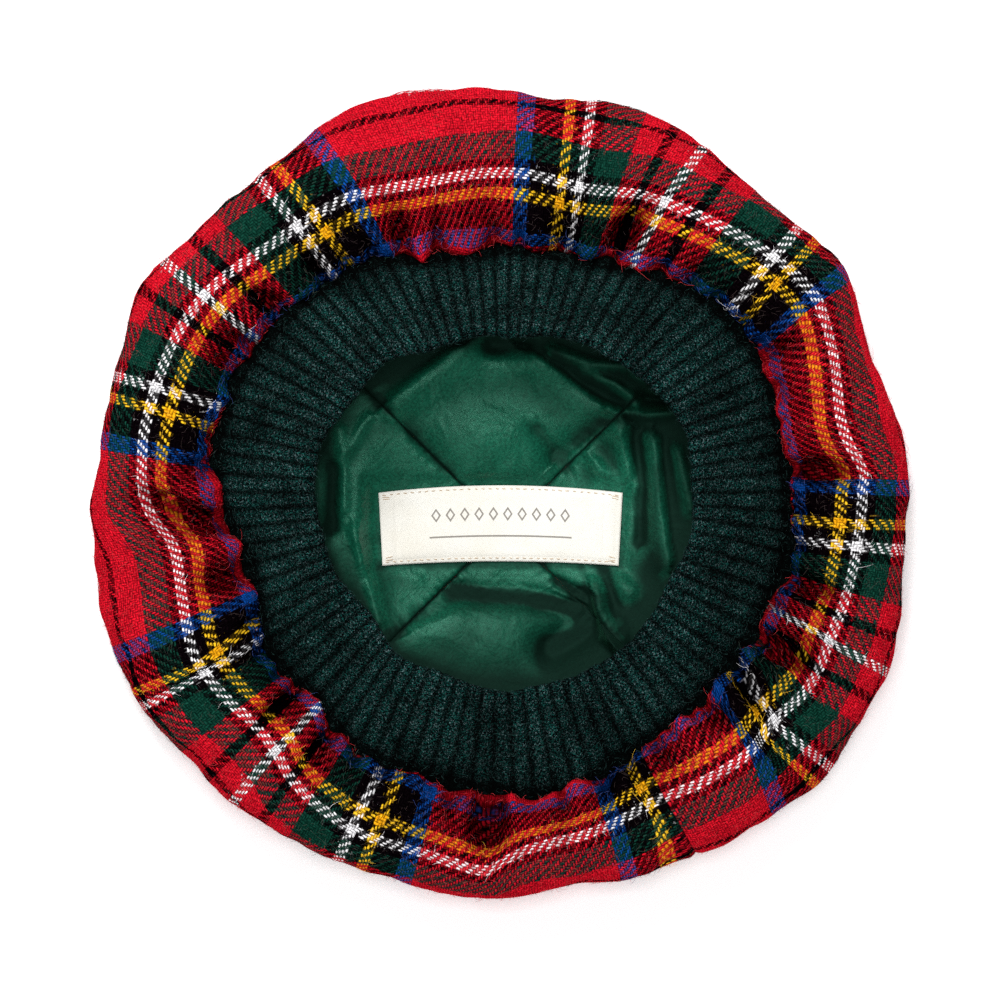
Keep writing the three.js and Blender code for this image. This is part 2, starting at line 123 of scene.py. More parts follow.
# Gathers at the band seam: (degrees, width in degrees, depth in mm or rise if negative, reach outward
# in mm, lean in degrees for each mm outward)
GATHERS = (
    (4.5, 1.8, 3.4, 34, -0.04), (15, 3.5, -1.2, 14, 0), (21.5, 1.0, 1.4, 9, 0), (27, 1.4, 2.2, 20, 0.1),
    (30.5, 1.0, 1.8, 12, 0), (35.5, 1.0, 1.6, 12, 0), (42, 1.2, 1.4, 12, 0.1), (48, 1.0, 1.8, 12, 0),
    (54, 1.2, 1.6, 14, 0), (59, 1.8, -1.6, 9, 0), (65.5, 1.8, 4.0, 30, -0.05), (70, 1.5, -2.0, 10, 0),
    (77, 1.4, 2.4, 18, 0), (86, 1.4, 1.6, 12, 0), (92, 1.4, 1.8, 14, -0.1), (99, 2.5, -1.6, 10, 0),
    (105, 1.3, 2.8, 26, -0.12), (108.5, 1.2, -2.2, 14, 0), (112, 1.4, 3.4, 22, -0.1), (118, 1.4, 1.8, 12, 0),
    (124.5, 1.2, 1.6, 12, 0), (130, 1.4, 2.2, 16, 0), (134.5, 1.4, -1.6, 9, 0), (140, 1.4, 2.4, 22, 0.1),
    (144.5, 1.0, 1.4, 10, 0), (149.5, 1.3, 2.2, 18, 0.05), (155, 1.4, 2.0, 16, 0), (161, 2.0, -1.4, 9, 0),
    (168, 1.2, 1.4, 12, 0), (174, 1.4, 1.8, 16, 0.1), (178.5, 1.4, -1.6, 14, 0.1), (186, 1.9, 4.6, 36, -0.22),
    (191, 1.8, -2.0, 16, -0.1), (197, 1.9, 3.6, 24, 0), (202.5, 1.6, -1.8, 14, 0), (207, 1.2, 2.0, 16, 0),
    (213, 1.4, 2.0, 14, 0), (219, 1.3, 1.6, 12, 0), (223.5, 1.3, 3.2, 26, 0), (229.5, 1.6, -1.8, 12, 0),
    (234.5, 1.4, 3.2, 22, 0), (241, 1.3, 1.8, 14, 0), (247, 1.3, 1.4, 12, 0), (253, 1.6, -1.0, 9, 0),
    (260, 1.4, 1.8, 16, 0), (267.5, 2.3, 6.4, 27, 0), (272.5, 1.6, -2.4, 10, 0), (278.5, 2.6, -2.4, 7, 0),
    (284, 2.6, -2.4, 7, 0), (281.2, 0.9, 1.8, 10, 0), (289.5, 1.4, 2.4, 16, 0), (295, 1.4, 1.6, 12, 0),
    (302, 1.5, 1.8, 14, 0), (308, 1.6, -1.4, 10, 0), (313.5, 1.4, 2.6, 18, 0.1), (318, 1.3, -1.6, 12, 0.1),
    (323.5, 1.4, 4.4, 24, -0.2), (327.3, 1.0, -2.2, 12, -0.1), (330.5, 1.7, 4.8, 32, 0),
    (337.5, 1.2, 2.2, 14, 0), (343.5, 1.6, 4.0, 30, 0), (349.5, 1.2, 1.8, 12, 0), (356.5, 1.3, 2.0, 14, 0),
)
PUCKER_START = 0.14
PUCKER_SHARE = 0.6            # share of the small gathers that the cloth takes up
ROLL_SWELL, SWELL_REACH = 1.2, 12.0
SLOW_WAVES, QUICK_WAVES, WAVE_SINK = 0.7, 0.3, 0.9    # heights of the cloth's waves, and their middle
END_SEAM_DEPTH, END_SEAM_REACH = 1.1, 1.1
# The seam edge leans over the band: least, most and usual lean, its reach outward, and its rise
LEAN_BACK, LEAN_OVER, LEAN_USUAL = -2.6, 1.6, 0.9
LEAN_REACH, LEAN_RISE = 9.0, 0.6

# The tartan's threads, from the white pivot to the middle of the broad red: (colour, threads)
STRIPES_OUTWARD = (
    ("white", 2), ("red", 9), ("black", 4), ("red", 10), ("green", 15), ("black", 4), ("white", 4),
    ("black", 4), ("yellow", 4), ("black", 11), ("blue", 7), ("red", 39),
)
STRIPES_ROUND = (
    ("white", 2), ("red", 11), ("black", 3), ("red", 11), ("green", 10), ("black", 3), ("white", 4),
    ("black", 3), ("yellow", 4), ("black", 10), ("blue", 6), ("red", 39),
)
REPEAT = 2 * sum(threads for _, threads in STRIPES_OUTWARD)
THREAD_PITCH, FAR_PITCH = 0.95, 0.98
# The last thread that is seen at the seam, where the cloth turns under: (degrees, thread)
TURNED_THREADS = (
    (5, -1.5), (17, -2.2), (28, -1.5), (34, 3.0), (46, 2.5), (53, -1.0), (62, -1.5), (68, 0.5), (78, -1.0),
    (88, -2.0), (116, 3.0), (136, 3.0), (143, 0.5), (152, 0.0), (158, 2.0), (168, -2.0), (185, -2.5),
    (200, -1.5), (207, 2.5), (214, 1.5), (222, -0.5), (238, -0.5), (247, 1.0), (256, -1.5), (276, -2.0),
    (290, 3.0), (300, 0.5), (314, -1.0), (322, 2.0), (333, -1.0), (340, 0.0), (348, 1.5), (356, 0.5),
)
TURN_REACH = 6.5              # how far out from the seam they are crowded
# Threads that the seam lies away from the yarn counted as the first: (degrees, threads)
SEAM_THREADS = (
    (5, 6.0), (15, 7.5), (27, 6.5), (40, 5.0), (55, 5.5), (70, 4.5), (85, 6.0), (94, 0.0), (104, -4.5),
    (112, -1.0), (120, 5.0), (135, 6.0), (150, 4.5), (165, 5.0), (178, 3.0), (188, 6.0), (200, 6.0),
    (212, 4.0), (225, 4.5), (238, 4.0), (250, 4.5), (259, 0.0), (266, -4.0), (277, -7.5), (286, -5.5),
    (293, 4.0), (305, 6.0), (318, 5.0), (335, 4.5), (350, 5.5),
)
FIRST_PIVOT = 68.5            # threads from the band seam out to the pivot of the round stripes
WHITE_THREAD = 27.0           # threads from the band seam out to the white round stripe
STRIP_START = 298.3           # where the strip's two ends are sewn together
STRIP_THREADS = (-108.0, 855.0)     # thread numbers at those two ends
# Thread numbers, about a white pivot, of the blue, yellow and white stripes on each side of it
STRIPE_THREADS = (-70.5, -54, -46, 0, 46, 54, 70.5)
# Places of those stripes in degrees, one row for each repeat, at the rim, half way, and at the seam
STRIPES_AT_RIM = (
    (311.2, 317.1, 320.2, 335, 351.9, 355.6, 360.5), (392.75, 398.75, 401.9, 419.6, 437.1, 440, 446.25),
    (478.1, 484.75, 487.75, 505.4, 523.25, 526.25, 532.5), (562.75, 568.5, 570.6, 589.1, 605.9, 609.6, 615.6),
)
STRIPES_HALF_WAY = (
    (315, 316.9, 319.8, 335.4, 351.3, 355, 361), (392, 397.5, 400.6, 420.9, 435.9, 439, 446.6),
    (476.3, 484, 487.5, 506.5, 522.9, 526.5, 533.1), (563, 570, 571, 588.75, 605.9, 609.75, 616),
)
STRIPES_AT_SEAM = (
    (318.5, 321.2, 325, 336.9, 350.6, 355, 362), (390, 395.25, 398.5, 420.4, 434.6, 438.1, 446.3),
    (475.6, 483.75, 487.75, 508.1, 522.75, 527.5, 534.6), (562.5, 567.5, 571.5, 589.4, 606.25, 610.25, 616.5),
)
LAST_STRIPES = ((648.5, 653.5), (649, 655.6), (648.75, 655))
# Distance of the white round stripe from the middle: (degrees, share of the rim's radius)
WHITE_STRIPE = (
    (0, 0.885), (3, 0.891), (8, 0.86), (12.5, 0.852), (20, 0.873), (31, 0.908), (37, 0.898), (47, 0.86),
    (52, 0.842), (65, 0.805), (75, 0.774), (87, 0.786), (106, 0.786), (118, 0.817), (127, 0.821),
    (133, 0.832), (140, 0.854), (146, 0.875), (155, 0.885), (178, 0.885), (183, 0.866), (188, 0.82),
    (192, 0.813), (200, 0.829), (209, 0.852), (217, 0.842), (223, 0.83), (229, 0.842), (233, 0.866),
    (239, 0.889), (246, 0.903), (258, 0.907), (263, 0.916), (268, 0.926), (271, 0.897), (275, 0.873),
    (288, 0.857), (296, 0.845), (305, 0.863), (314, 0.879), (320, 0.87), (328, 0.891), (335, 0.882),
)

# Lining folds: places in millimetres about the crown's middle along each fold's crest, then its
# height, and how far it falls away on its left and on its right
FOLDS = (
    (((-37.1, 32.9), (-15.6, 49.2)), 3.0, 2.0, 8.0),
    (((9.9, 47.9), (20.3, 40.7), (30.8, 32.9), (40.5, 26.4)), 4.0, 1.6, 9.0),
    (((17.7, 48.6), (30.8, 44.0), (43.8, 43.4), (52.9, 36.2)), 3.5, 2.5, 2.0),
    (((28.1, 42.1), (38.6, 38.1), (47.7, 31.6)), 3.0, 1.5, 2.6),
    (((37.3, 29.7), (49.0, 27.0), (60.8, 28.3)), 3.0, 1.6, 2.2),
    (((50.0, 33.0), (55.5, 32.5)), -5.0, 3.0, 3.0),
    (((12.5, 22.5), (22.9, 10.1)), -1.2, 2.0, 4.0),
    (((52.9, 18.5), (54.9, -5.0), (57.5, -23.2)), 3.0, 2.0, 5.0),
    (((41.2, 19.9), (45.8, 2.9)), 1.5, 3.0, 3.0),
    (((60.8, 14.6), (65.3, -5.0)), 2.0, 2.0, 3.0),
    (((39.9, -23.2), (43.8, -33.7)), 2.0, 4.0, 4.0),
    (((33.4, 10.7), (42.5, 0.3)), 1.2, 2.0, 3.0),
    (((32.0, -36.3), (35.0, -46.7), (37.2, -50.7)), 4.5, 7.0, 0.9),
    (((35.3, -50.0), (41.9, -55.9)), 3.0, 2.2, 1.5),
    (((20.3, -31.1), (30.7, -36.3)), -1.6, 2.0, 2.0),
    (((-16.0, -33.5), (-6.0, -34.5), (6.0, -35.0), (17.0, -37.0), (28.0, -41.0)), -3.2, 2.2, 4.2),
    (((-30.0, -48.0), (-12.0, -40.5), (8.0, -41.5)), 1.6, 3.0, 7.0),
    (((-14.0, -46.5), (2.0, -48.5)), 1.2, 9.0, 9.0),
    (((18.0, -54.0), (28.0, -48.0)), -4.0, 6.0, 6.0),
    (((-20.0, 9.0), (-31.0, 21.0)), -1.2, 2.5, 5.0),
    (((20.0, 12.0), (29.0, 20.0), (38.0, 27.0)), -1.4, 5.0, 2.0),
    (((-3.0, 51.0), (8.0, 50.0)), -2.6, 3.0, 4.0),
    (((30.0, 14.0), (34.0, 6.0), (33.0, 1.0)), 1.0, 2.0, 2.0),
    (((47.0, 20.0), (49.0, 2.0), (48.0, -16.0)), -2.2, 2.2, 3.4),
    (((-57.0, 8.0), (-58.0, -12.0)), -1.6, 2.0, 3.0),
    (((36.0, -28.0), (39.0, -40.0)), -1.8, 2.4, 3.0),
    (((-50.9, -12.8), (-42.4, -44.1)), 1.5, 3.0, 2.0),
    (((-55.4, 21.2), (-54.8, -5.0)), 1.2, 2.0, 3.0),
    (((-46.3, 26.4), (-52.8, 14.6)), 1.0, 2.0, 2.0),
    (((-43.7, -20.6), (-29.3, -28.5)), 1.0, 3.0, 3.0),
    (((-30.6, 31.6), (-5.8, 43.4)), 1.5, 8.0, 8.0),
)
FOLD_GAIN = 1.7
FOLDS_END, FOLDS_FADE = 0.95, 0.2
# Broad swellings of the lining: (x, y, height, reach along x, reach along y) in millimetres
SWELLINGS = (
    (-8, 20, 7.5, 26, 15), (-48, -4, 4.0, 9, 24), (44, -8, 3.0, 9, 20), (-6, -53, 3.0, 22, 9),
    (30, 38, -3.0, 14, 8),
)
LABEL_MARGIN, LABEL_SHADE_DROP = 4.0, 0.6
LINING_SINK = 0.9             # how far a fold may sink below the lining's floor
LOOK_AROUND = 5.0             # how far round a place its height is compared, for shade in the folds
# Painted shade where the lining turns away from the light: (places along it, depth of the shade, reach on its
# left and on its right in mm)
SHADE_POCKETS = (
    (((-12.0, -31.7), (-6.8, -36.6), (9.5, -38.9), (24.2, -37.8), (31.6, -35.6)), 0.72, 3.2, 7.0),
    (((30.0, -36.0), (32.5, -48.0), (38.0, -54.5)), 0.95, 1.4, 3.0),
    (((22.0, -57.0), (31.0, -52.0)), 0.75, 7.0, 7.0),
    (((-16.0, -50.0), (14.0, -54.0)), 0.42, 8.0, 9.0),
    (((3.0, 52.5), (7.0, 51.0)), 0.8, 3.0, 3.0),
    (((43.8, 26.5), (52.0, 24.5), (60.0, 24.5)), 0.9, 1.5, 4.0),
    (((18.0, 47.5), (27.0, 40.5), (37.0, 33.5)), 0.6, 2.5, 1.2),
    (((-44.3, 37.5), (-28.0, 48.0), (-11.7, 52.5)), 0.6, 3.0, 2.0),
    (((-45.5, 34.5), (-38.0, 28.0)), 0.6, 2.0, 2.0),
    (((54.5, 8.0), (52.5, -10.8), (54.5, -25.0)), 0.6, 2.0, 4.0),
    (((17.7, -30.4), (27.5, -36.1)), 0.7, 1.2, 1.6),
    (((-58.0, 12.0), (-59.0, -12.0)), 0.5, 2.0, 3.0),
)
# How far the shade under the band's lip reaches over the lining: (degrees, mm)
LIP_SHADE = (
    (0, 9), (30, 17), (55, 17), (85, 7), (115, 5), (180, 3.5), (225, 6), (270, 11), (300, 17),
    (325, 15), (345, 11),
)

# Fineness
GORE_AROUND, GORE_OUT = 120, 96
LABEL_ALONG, LABEL_ACROSS = 120, 40
FIBRE_RADIUS, FIBRE_LOWEST = 0.055, 0.05
STITCH_RADIUS = 0.17
CLOTH_STATIONS = 840
CLOTH_ROWS = (62, 16, 6)      # seam to rim, rim to foot, foot to disc
INNER_ROWS = 12
BAND_STEPS = 12               # stations on each rib
BAND_ROWS = (58, 9, 11)       # upper face, fold, inner face
FIBRES, FIBRE_LENGTH = 9800, 2.1
BAND_FIBRES, BAND_FIBRE_LENGTH = 7000, 1.5


def closed_curve(rows, deg):
    """A smooth closed curve through (degree, value) rows."""
    places = np.array([row[0] for row in rows], float)
    values = np.array([row[1] for row in rows], float)
    turn = np.mod(deg, 360.0)
    index = np.searchsorted(places, turn, side="right") - 1

    def row(k):
        return places[k % len(rows)] + 360 * np.floor_divide(k, len(rows)), values[k % len(rows)]

    (d0, v0), (d1, v1), (d2, v2), (d3, v3) = row(index - 1), row(index), row(index + 1), row(index + 2)
    span = d2 - d1
    t = (turn - d1) / span
    leave, arrive = span * (v2 - v0) / (d2 - d0), span * (v3 - v1) / (d3 - d1)
    return ((2 * t**3 - 3 * t**2 + 1) * v1 + (t**3 - 2 * t**2 + t) * leave
            + (3 * t**2 - 2 * t**3) * v2 + (t**3 - t**2) * arrive)


def smooth(x, low, high):
    """0 below low, 1 above high, and a smooth step between."""
    t = np.clip((x - low) / (high - low), 0, 1)
    return t * t * (3 - 2 * t)


def bell(away, reach):
    """1 at no distance, and falling off round on both sides."""
    return np.exp(-(away / reach)**2)


def mix(a, b, share):
    return a + (b - a) * share


def turn_between(start, end):
    """Signed turn between two directions, from -180 to 180 degrees."""
    return np.mod(end - start + 180, 360) - 180


def offset_ring(deg, radius):
    """Distance from the crown's middle to a circle about the band's own middle."""
    a = np.radians(deg)
    along = np.cos(a) * BAND_X + np.sin(a) * BAND_Y
    aside = np.cos(a) * BAND_Y - np.sin(a) * BAND_X
    return along + np.sqrt(radius**2 - aside**2)


def rim_radius(deg):
    return RIM_RADIUS * closed_curve(RIM_OUTLINE, deg)


def seam_radius(deg):
    return offset_ring(deg, SEAM_RADIUS) * closed_curve(SEAM_OUTLINE, deg)


def mouth_radius(deg):
    return offset_ring(deg, MOUTH_RADIUS) * closed_curve(MOUTH_OUTLINE, deg)


def waves(a, b, low, high, count, seed):
    """Even smooth noise of two coordinates, about -1 to 1, with whole waves round the first in degrees."""
    draw = np.random.default_rng(seed)
    total = np.zeros(np.broadcast(a, b).shape)
    for _ in range(count):
        turns = draw.integers(low, high)
        slant = draw.uniform(-1, 1) * high / 110
        total += np.sin(np.radians(turns * a) + slant * b + draw.uniform(0, 2 * math.pi))
    return total / math.sqrt(count)


def crease_drop(deg, share):
    """How far the creases lower the cloth at a share of the way from seam to rim."""
    drop = np.zeros(np.broadcast(deg, share).shape)
    for place, width, depth, reach, lean in CREASES:
        turn = turn_between(place + lean * share, deg)
        drop += depth * bell(turn, width) * (1 - smooth(share, reach * CREASE_HOLD, reach))
    return ROLL_RISE * smooth(share, 0, PUCKER_START) * drop


def bezier(points, steps):
    """Points on a cubic curve whose four corners are arrays over the stations."""
    t = np.linspace(0, 1, steps + 1)[None, :]
    p = [np.broadcast_to(np.asarray(q, float), points[0].shape)[:, None] for q in points]
    return (1 - t)**3 * p[0] + 3 * (1 - t)**2 * t * p[1] + 3 * (1 - t) * t**2 * p[2] + t**3 * p[3]


def cloth_profiles(deg, steps=40):
    """Radius and height of the outer face at each station, and the counts where its curves end."""
    seam, rim = seam_radius(deg), rim_radius(deg)
    follow = closed_curve(RIM_OUTLINE, deg)
    waist = RIM_HEIGHT / follow**RIM_SLUMP
    foot = (DISC_RADIUS + STRIP_FLAT) * mix(1, follow, FOOT_FOLLOWS)
    crest, top = mix(seam, rim, CREST_SHARE), SEAM_HEIGHT + ROLL_RISE
    full = ROLL_FULLNESS
    base = np.zeros_like(deg)
    curves = [
        ((seam, seam, mix(crest, seam, full), crest),
         (base + SEAM_HEIGHT, base + mix(SEAM_HEIGHT, top, full), base + top, base + top)),
        ((crest, mix(crest, rim, full), rim, rim),
         (base + top, base + top, mix(waist, top, full), waist)),
        ((rim, rim, (foot + rim) / 2, foot), (waist, waist * (1 - full), base, base)),
        ((foot, mix(foot, DISC_RADIUS, 0.33), mix(foot, DISC_RADIUS, 0.67), base + DISC_RADIUS + 0.3),
         (base, base, base, base)),
    ]
    radius = np.concatenate([bezier(c[0], steps)[:, (k > 0):] for k, c in enumerate(curves)], 1)
    height = np.concatenate([bezier(c[1], steps)[:, (k > 0):] for k, c in enumerate(curves)], 1)
    share = (radius - seam[:, None]) / (rim - seam)[:, None]
    upper = smooth(height, waist[:, None], SEAM_HEIGHT)
    height = height - crease_drop(deg[:, None], share) * upper
    return radius, height, steps


def resample(radius, height, marks, rows):
    """The profiles at even steps of arc length between the marked points."""
    length = np.concatenate([np.zeros((len(radius), 1)), np.cumsum(np.hypot(
        np.diff(radius, axis=1), np.diff(height, axis=1)), 1)], 1)
    out_r, out_z, out_s = [], [], []
    for r, z, s in zip(radius, height, length):
        spots = [np.linspace(s[marks[k]], s[marks[k + 1]], rows[k] + 1)[(k > 0):] for k in range(len(rows))]
        spot = np.concatenate(spots)
        out_r.append(np.interp(spot, s, r))
        out_z.append(np.interp(spot, s, z))
        out_s.append(spot)
    return np.array(out_r), np.array(out_z), np.array(out_s)


def grid_normals(points, closed):
    """Unit normals of a grid of points, columns by rows, closed round the columns or not."""
    if closed:
        across = np.roll(points, -1, 0) - np.roll(points, 1, 0)
    else:
        across = np.gradient(points, axis=0)
    along = np.gradient(points, axis=1)
    normal = np.cross(across, along)
    return normal / np.maximum(np.linalg.norm(normal, axis=2, keepdims=True), 1e-9)


def polar(radius, deg, height):
    a = np.radians(deg)
    return np.stack([radius * np.cos(a), radius * np.sin(a), height + 0 * a], -1)


def new_piece(name, points, quads, maps, material):
    """A mesh object from points in millimetres, quads, and maps of a (u, v) for each corner."""
    mesh = bpy.data.meshes.new(name)
    mesh.vertices.add(len(points))
    mesh.vertices.foreach_set("co", ((points + SHIFT) * MM).astype(np.float32).ravel())
    mesh.loops.add(quads.size)
    mesh.loops.foreach_set("vertex_index", quads.astype(np.int32).ravel())
    mesh.polygons.add(len(quads))
    mesh.polygons.foreach_set("loop_start", np.arange(0, quads.size, quads.shape[1], dtype=np.int32))
    mesh.polygons.foreach_set("use_smooth", np.full(len(quads), True))
    for label, uv in maps.items():
        layer = mesh.uv_layers.new(name=label)
        layer.data.foreach_set("uv", uv.astype(np.float32).ravel())
    mesh.update(calc_edges=True)
    mesh.validate()
    mesh.materials.append(material)
    piece = bpy.data.objects.new(name, mesh)
    bpy.context.scene.collection.objects.link(piece)
    return piece


def ring_quads(stations, count):
    """Quads of a closed ring whose sections are closed loops of points."""
    i, j = np.meshgrid(np.arange(stations), np.arange(count), indexing="ij")
    here, there = i * count, ((i + 1) % stations) * count
    up = (j + 1) % count
    return np.stack([here + j, there + j, there + up, here + up], -1).reshape(-1, 4)


def closed(grid):
    """Values round a ring, with the first ones again at the end."""
    return np.concatenate([grid, grid[:1]])


def corners(grid):
    """The four corners of each cell of a grid of values, in turn round it."""
    return np.stack([grid[:-1, :-1], grid[1:, :-1], grid[1:, 1:], grid[:-1, 1:]], -1)


def ring_map(values_u, values_v):
    """Corner maps for ring_quads, from (stations + 1) by (count + 1) values."""
    return np.stack([corners(values_u), corners(values_v)], -1).reshape(-1, 2)


# Placement: the crown's own box is the frame's
middle_low, middle_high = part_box("crown_side")
STATION_DEG = STRIP_START + 360 * np.arange(CLOTH_STATIONS + 1) / CLOTH_STATIONS
rim_line = polar(rim_radius(STATION_DEG), STATION_DEG, 0)
SHIFT = np.array([
    (middle_low.x + middle_high.x) / 2 / MM - (rim_line[:, 0].min() + rim_line[:, 0].max()) / 2,
    (middle_low.y + middle_high.y) / 2 / MM - (rim_line[:, 1].min() + rim_line[:, 1].max()) / 2,
    0.0,
])


class Finish:
    """A node material, laid out with short calls."""

    def __init__(self, name):
        self.material = bpy.data.materials.new(name)
        self.material.use_nodes = True
        self.tree = self.material.node_tree
        self.shader = next(n for n in self.tree.nodes if n.type == "BSDF_PRINCIPLED")

    def link(self, value, socket):
        if isinstance(value, (int, float)):
            socket.default_value = value
        elif isinstance(value, tuple):
            socket.default_value = value if len(value) != 3 or socket.type != "RGBA" else (*value, 1.0)
        else:
            self.tree.links.new(value, socket)

    def node(self, kind, *values, **settings):
        """A new node with its settings, and with its first inputs given in turn."""
        node = self.tree.nodes.new("ShaderNode" + kind)
        for name, value in settings.items():
            setattr(node, name, value)
        for value, socket in zip(values, node.inputs):
            self.link(value, socket)
        return node

    def math(self, operation, a, b=0.0, c=0.0):
        return self.node("Math", a, b, c, operation=operation).outputs[0]

    def add(self, a, b):
        return self.math("ADD", a, b)

    def times(self, a, b):
        return self.math("MULTIPLY", a, b)

    def apart(self, a, b):
        return self.math("ABSOLUTE", self.math("SUBTRACT", a, b))

    def uv(self, name):
        vector = self.node("UVMap", uv_map=name).outputs[0]
        split = self.node("SeparateXYZ", vector)
        return split.outputs[0], split.outputs[1], vector

    def place(self):
        return self.node("TexCoord").outputs["Object"]

    def stretched(self, vector, scale, turn=(0.0, 0.0, 0.0)):
        node = self.node("Mapping", vector)
        node.inputs["Scale"].default_value = scale
        node.inputs["Rotation"].default_value = turn
        return node.outputs[0]

    def noise(self, vector, scale, detail=2.0, rough=0.5, distortion=0.0):
        node = self.node("TexNoise", vector)
        node.inputs["Scale"].default_value = scale
        node.inputs["Detail"].default_value = detail
        node.inputs["Roughness"].default_value = rough
        node.inputs["Distortion"].default_value = distortion
        return node.outputs["Fac"]

    def ramp(self, value, stops, interpolation="LINEAR"):
        node = self.node("ValToRGB", value)
        node.color_ramp.interpolation = interpolation
        elements = node.color_ramp.elements
        while len(elements) > 1:
            elements.remove(elements[-1])
        elements[0].position = stops[0][0]
        elements[0].color = (*stops[0][1], 1.0)
        for place, colour in stops[1:]:
            elements.new(place).color = (*colour, 1.0)
        return node.outputs[0]

    def blend(self, share, a, b, kind="MIX"):
        node = self.node("Mix", share, data_type="RGBA", blend_type=kind)
        self.link(a, node.inputs[6])
        self.link(b, node.inputs[7])
        return node.outputs[2]

    def range(self, value, low, high, to_low, to_high):
        return self.node("MapRange", value, low, high, to_low, to_high).outputs[0]

    def luminance(self, colour):
        return self.node("RGBToBW", colour).outputs[0]

    def bump(self, height, distance, strength=1.0, normal=None):
        node = self.node("Bump")
        node.inputs["Strength"].default_value = strength
        node.inputs["Distance"].default_value = distance
        self.link(height, node.inputs["Height"])
        if normal is not None:
            self.link(normal, node.inputs["Normal"])
        return node.outputs[0]

    def set(self, **values):
        for name, value in values.items():
            self.link(value, self.shader.inputs[name.replace("_", " ")])
        return self


def linear(r, g, b):
    """A colour given as it looks on a screen, 0 to 255, as light."""
    return tuple((c / 255 / 12.92) if c <= 10 else ((c / 255 + 0.055) / 1.055)**2.4 for c in (r, g, b))


YARN = {
    "red": linear(214, 22, 40),
    "green": linear(16, 60, 48),
    "black": linear(9, 4, 7),
    "blue": linear(14, 70, 150),
    "yellow": linear(255, 200, 40),
    "white": linear(255, 253, 255),
}


def yarns(f, step, stripes, pivot):
    """The yarn colour at a thread number, mirrored about the pivot and about the broad red."""
    half = sum(threads for _, threads in stripes)
    stops, count = [], 0
    for colour, threads in stripes:
        stops.append((count / half, YARN[colour]))
        count += threads
    place = f.math("PINGPONG", f.math("SUBTRACT", f.add(step, 0.5), pivot), float(half))
    return f.ramp(f.math("DIVIDE", place, float(half)), stops, "CONSTANT")


def twill(f, u, v):
    """Colour and height of a two and two twill, where each crossing shows one of its two yarns."""
    step_u, step_v = f.math("FLOOR", u), f.math("FLOOR", v)
    part_u, part_v = f.math("FRACT", u), f.math("FRACT", v)
    outward = yarns(f, step_u, STRIPES_OUTWARD, 0.0)
    round_it = yarns(f, step_v, STRIPES_ROUND, FIRST_PIVOT)
    phase = f.math("FLOORED_MODULO", f.add(step_u, step_v), 4.0)
    over = f.math("LESS_THAN", phase, 1.5)
    colour = f.blend(over, round_it, outward)
    under = f.blend(over, outward, round_it)
    place_in_float = f.math("FLOORED_MODULO", phase, 2.0)

    def bow(t):
        return f.math("SINE", f.times(t, math.pi))

    def float_height(across, along):
        whole = f.times(f.add(place_in_float, along), 0.5)
        return f.times(bow(across), f.math("POWER", bow(whole), 0.5))

    height = f.blend(over, float_height(part_v, part_u), float_height(part_u, part_v))
    return colour, under, height


